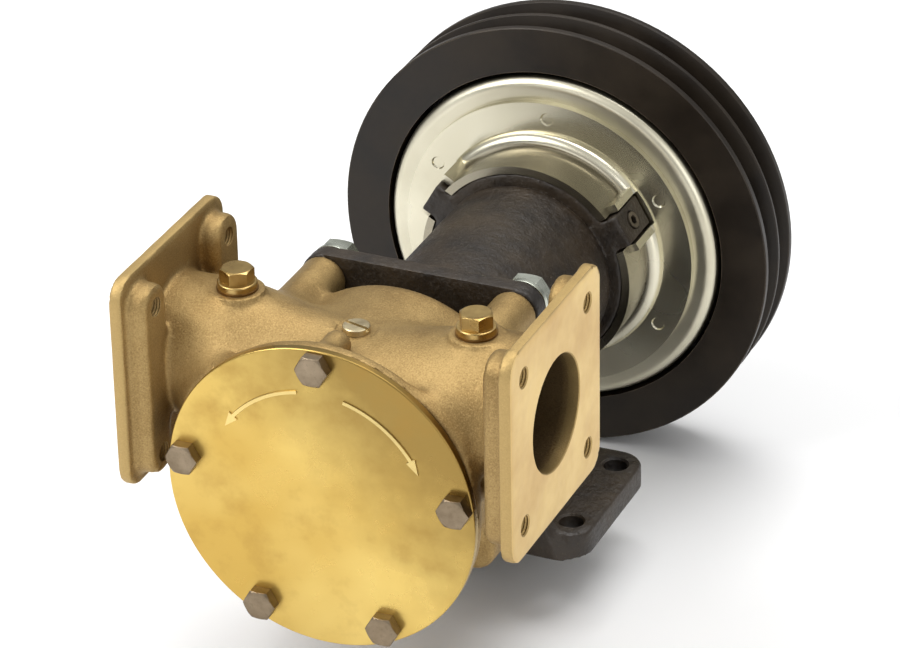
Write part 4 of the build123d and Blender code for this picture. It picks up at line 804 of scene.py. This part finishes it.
FINISHES = {
    "bronze_casting": cast_bronze(),
    "cover_brass": cover_brass(),
    "plug_brass": metal("plug_brass", srgb(206, 178, 118), srgb(156, 126, 72), 0.3, relief=0.00003),
    "bronze_inner": metal("bronze_inner", srgb(206, 160, 96), srgb(150, 110, 60), 0.32),
    "stainless_bolt": bolt_steel(),
    "paper_gasket": metal("paper_gasket", srgb(88, 80, 62), srgb(58, 52, 40), 0.85, metallic=0.0),
    "copper_washer": metal("copper_washer", srgb(150, 116, 68), srgb(94, 70, 42), 0.42),
    "impeller_rubber": rubber("impeller_rubber", srgb(34, 33, 32)),
    "seal_rubber": rubber("seal_rubber", srgb(26, 26, 27)),
    "seal_ceramic": metal("seal_ceramic", srgb(232, 228, 216), srgb(206, 200, 186), 0.25, metallic=0.0),
    "seal_carbon": metal("seal_carbon", srgb(58, 58, 60), srgb(34, 34, 36), 0.45, metallic=0.0),
    "black_cast_iron": black_iron(),
    "zinc_bolt": metal("zinc_bolt", srgb(222, 226, 214), srgb(164, 168, 152), 0.24),
    "zinc_pressing": spun_zinc("zinc_pressing", 0.24, 0.8),
    "zinc_shell": spun_zinc("zinc_shell", 0.34, 0.5),
    "set_screw_steel": metal("set_screw_steel", srgb(128, 118, 104), srgb(60, 54, 46), 0.4),
    "winding": winding(),
    "potting": rubber("potting", srgb(48, 36, 28)),
    "pulley_black": pulley_paint(),
    "lining": rubber("lining", srgb(70, 62, 54)),
    "shaft_steel": metal("shaft_steel", srgb(196, 196, 194), srgb(140, 138, 134), 0.24),
    "bearing_steel": metal("bearing_steel", srgb(206, 206, 204), srgb(158, 157, 154), 0.16),
    "cage_brass": metal("cage_brass", srgb(200, 160, 90), srgb(150, 112, 54), 0.3),
    "circlip_steel": metal("circlip_steel", srgb(84, 80, 76), srgb(50, 46, 44), 0.4),
    "armature_steel": metal("armature_steel", srgb(176, 176, 170), srgb(120, 118, 112), 0.34, grain=260),
    "spring_steel": metal("spring_steel", srgb(150, 150, 156), srgb(98, 98, 104), 0.28),
    "rivet_steel": metal("rivet_steel", srgb(190, 190, 184), srgb(130, 128, 122), 0.3),
}


# ------------------------------------------------------------------ pieces in the frame
def finish_with(piece, slot):
    """Give a piece the finish of a slot."""
    piece.data.materials.clear()
    piece.data.materials.append(FINISHES[slot])


def stand_for(piece, node, slot):
    """Show a piece in place of its CAD node, on the same body."""
    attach(piece, frame["nodes"][node]["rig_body"])
    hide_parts(node)
    finish_with(piece, slot)


SPRING_BENDS = (0.2, 0.35, 0.5, 0.65, 0.8)  # shares of a leaf's length, where it is cut to bend


def loose_parts(data):
    """The separate solids of a mesh, each as a mesh of its own."""
    whole = bmesh.new()
    whole.from_mesh(data)
    bmesh.ops.remove_doubles(whole, verts=whole.verts, dist=2e-6)
    left = set(whole.verts)
    while left:
        found, queue = set(), [min(left, key=lambda vert: vert.index)]
        while queue:
            vert = queue.pop()
            if vert not in found:
                found.add(vert)
                queue += [edge.other_vert(vert) for edge in vert.link_edges]
        left -= found
        number = {vert: k for k, vert in enumerate(sorted(found, key=lambda vert: vert.index))}
        own_faces = [face for face in whole.faces if face.verts[0] in found]
        faces = [[number[vert] for vert in face.verts] for face in own_faces]
        one = bpy.data.meshes.new(data.name + "_leaf")
        one.from_pydata([vert.co.copy() for vert in number], [], faces)
        yield one
    whole.free()


def bend_springs(node):
    """Show each armature spring as a leaf of its own, cut across at shares of its length between the hub
    and the armature.
    """
    axis = Vector((0, 0, SHAFT_HEIGHT * MM))
    for count, data in enumerate(loose_parts(frame["nodes"][node].data), 1):
        out = {vert.index: (vert.co - axis).xz.length for vert in data.vertices}
        near, far = min(out.values()), max(out.values())
        ends = []
        for inner, outer in ((near, near + (far - near) / 4), (far - (far - near) / 4, far)):
            chosen = [vert.co for vert in data.vertices if inner <= out[vert.index] <= outer]
            ends.append(sum(chosen, Vector()) / len(chosen))
        hub_end, plate_end = ends
        bm = bmesh.new()
        bm.from_mesh(data)
        for share in SPRING_BENDS:
            bmesh.ops.bisect_plane(
                bm,
                geom=bm.verts[:] + bm.edges[:] + bm.faces[:],
                plane_co=hub_end.lerp(plate_end, share),
                plane_no=plate_end - hub_end,
            )
        bm.to_mesh(data)
        bm.free()
        leaf = bpy.data.objects.new(f"armature_spring_{count}", data)
        bpy.context.scene.collection.objects.link(leaf)
        start = hub_end.lerp(plate_end, SPRING_BENDS[0])
        end = hub_end.lerp(plate_end, SPRING_BENDS[-1])
        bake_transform(leaf)
        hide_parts(node)
        finish_with(leaf, slot_of[node])


# rounding in millimetres of the edges of the pieces that are seen
EDGE_ROUNDING = {
    "end_cover": 0.22,
    "cover_bolts": 0.3,
    "cam_screw": 0.3,
    "priming_plug_left": 0.3,
    "priming_plug_right": 0.3,
    "plug_washer_left": 0.15,
    "plug_washer_right": 0.15,
    "mount_bolts": 0.4,
    "mount_washers": 0.25,
    "stator_set_screws": 0.2,
    "coil_shell": 0.5,
    "pulley_rotor": 0.4,
    "armature_plate": 0.4,
    "armature_hub": 0.3,
    "hub_bolt": 0.3,
    "hub_washer": 0.3,
}

slot_of = {part["node"]: part["material_slot"] for part in frame["record"]["subparts"]}
stand_for(cast_pump_body(), "pump_body", slot_of["pump_body"])
stand_for(cast_pedestal(), "bearing_housing", slot_of["bearing_housing"])
bend_springs("armature_springs")
for node, rounding in EDGE_ROUNDING.items():
    stand_for(refined(node, rounding), node, slot_of[node])
for node, shown in frame["nodes"].items():
    if not shown.hide_render:
        finish_with(shown, slot_of[node])


# ------------------------------------------------------------------ floor, light and camera
def make_floor():
    """Pale seamless floor just under the pulley's rim."""
    low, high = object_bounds()
    size = 9.0
    data = bpy.data.meshes.new("floor")
    z = low.z - 0.0006
    corners = [(-size, -size, z), (size, -size, z), (size, size, z), (-size, size, z)]
    data.from_pydata(corners, [], [(0, 1, 2, 3)])
    floor = bpy.data.objects.new("floor", data)
    bpy.context.scene.collection.objects.link(floor)
    finish = Finish("floor", 0.0, 0.7)
    clouds = finish.noise(3, 3)
    grey, pale = srgb(240, 240, 240), srgb(244, 244, 244)
    finish.colour(finish.mix(finish.fit(clouds, 0.3, 0.7), grey, pale))
    data.materials.append(finish.material)


def area_light(name, place, target, width, height, power, tint=(1, 1, 1)):
    """Rectangular soft light aimed at a point."""
    lamp = bpy.data.lights.new(name, "AREA")
    lamp.shape = "RECTANGLE"
    lamp.size = width
    lamp.size_y = height
    lamp.energy = power
    lamp.color = tint
    light = bpy.data.objects.new(name, lamp)
    light.location = place
    light.rotation_euler = (Vector(target) - Vector(place)).to_track_quat("-Z", "Y").to_euler()
    bpy.context.scene.collection.objects.link(light)


def light_stage():
    """Soft boxes around the part and a grey studio for the metals to reflect."""
    middle = (0.0, -0.02, 0.09)
    area_light("key", (-1.1, -0.9, 1.5), middle, 1.1, 1.1, 26)
    area_light("overhead", (0.2, 0.5, 1.9), middle, 1.6, 1.0, 24)
    area_light("fill", (1.6, -1.0, 0.7), middle, 0.8, 1.2, 7)
    area_light("front", (-0.4, -2.1, 0.7), middle, 1.4, 0.6, 4)
    world = bpy.data.worlds.new("studio")
    world.use_nodes = True
    nodes, links = world.node_tree.nodes, world.node_tree.links
    background = nodes["Background"]
    coordinates = nodes.new("ShaderNodeTexCoord")
    split = nodes.new("ShaderNodeSeparateXYZ")
    ramp = nodes.new("ShaderNodeValToRGB")
    ramp.color_ramp.elements[0].position = 0.0
    ramp.color_ramp.elements[0].color = (0.55, 0.55, 0.55, 1)
    ramp.color_ramp.elements[1].position = 0.75
    ramp.color_ramp.elements[1].color = (0.9, 0.9, 0.9, 1)
    dark_band = ramp.color_ramp.elements.new(0.2)
    dark_band.color = (0.28, 0.28, 0.28, 1)
    links.new(coordinates.outputs["Generated"], split.inputs[0])
    links.new(split.outputs["Z"], ramp.inputs["Fac"])
    links.new(ramp.outputs["Color"], background.inputs["Color"])
    background.inputs["Strength"].default_value = 0.8
    bpy.context.scene.world = world
    bpy.context.scene.view_settings.view_transform = "Standard"


def make_camera():
    """Camera at the photograph's angle: from the cover side, to the right and above."""
    aim = Vector((0.03106, -0.08173, 0.13134))
    distance = 1.8122
    azimuth, elevation, roll = radians(23.89), radians(28.22), radians(1.13)
    back = Vector((sin(azimuth) * cos(elevation), -cos(azimuth) * cos(elevation), sin(elevation)))
    data = bpy.data.cameras.new("camera")
    data.lens = 173.12
    data.sensor_width = 36
    camera = bpy.data.objects.new("camera", data)
    turned = back.to_track_quat("Z", "Y").to_matrix().to_4x4() @ Matrix.Rotation(-roll, 4, "Z")
    camera.matrix_world = Matrix.Translation(aim + back * distance) @ turned
    bpy.context.scene.collection.objects.link(camera)
    bpy.context.scene.camera = camera


make_floor()
light_stage()
make_camera()
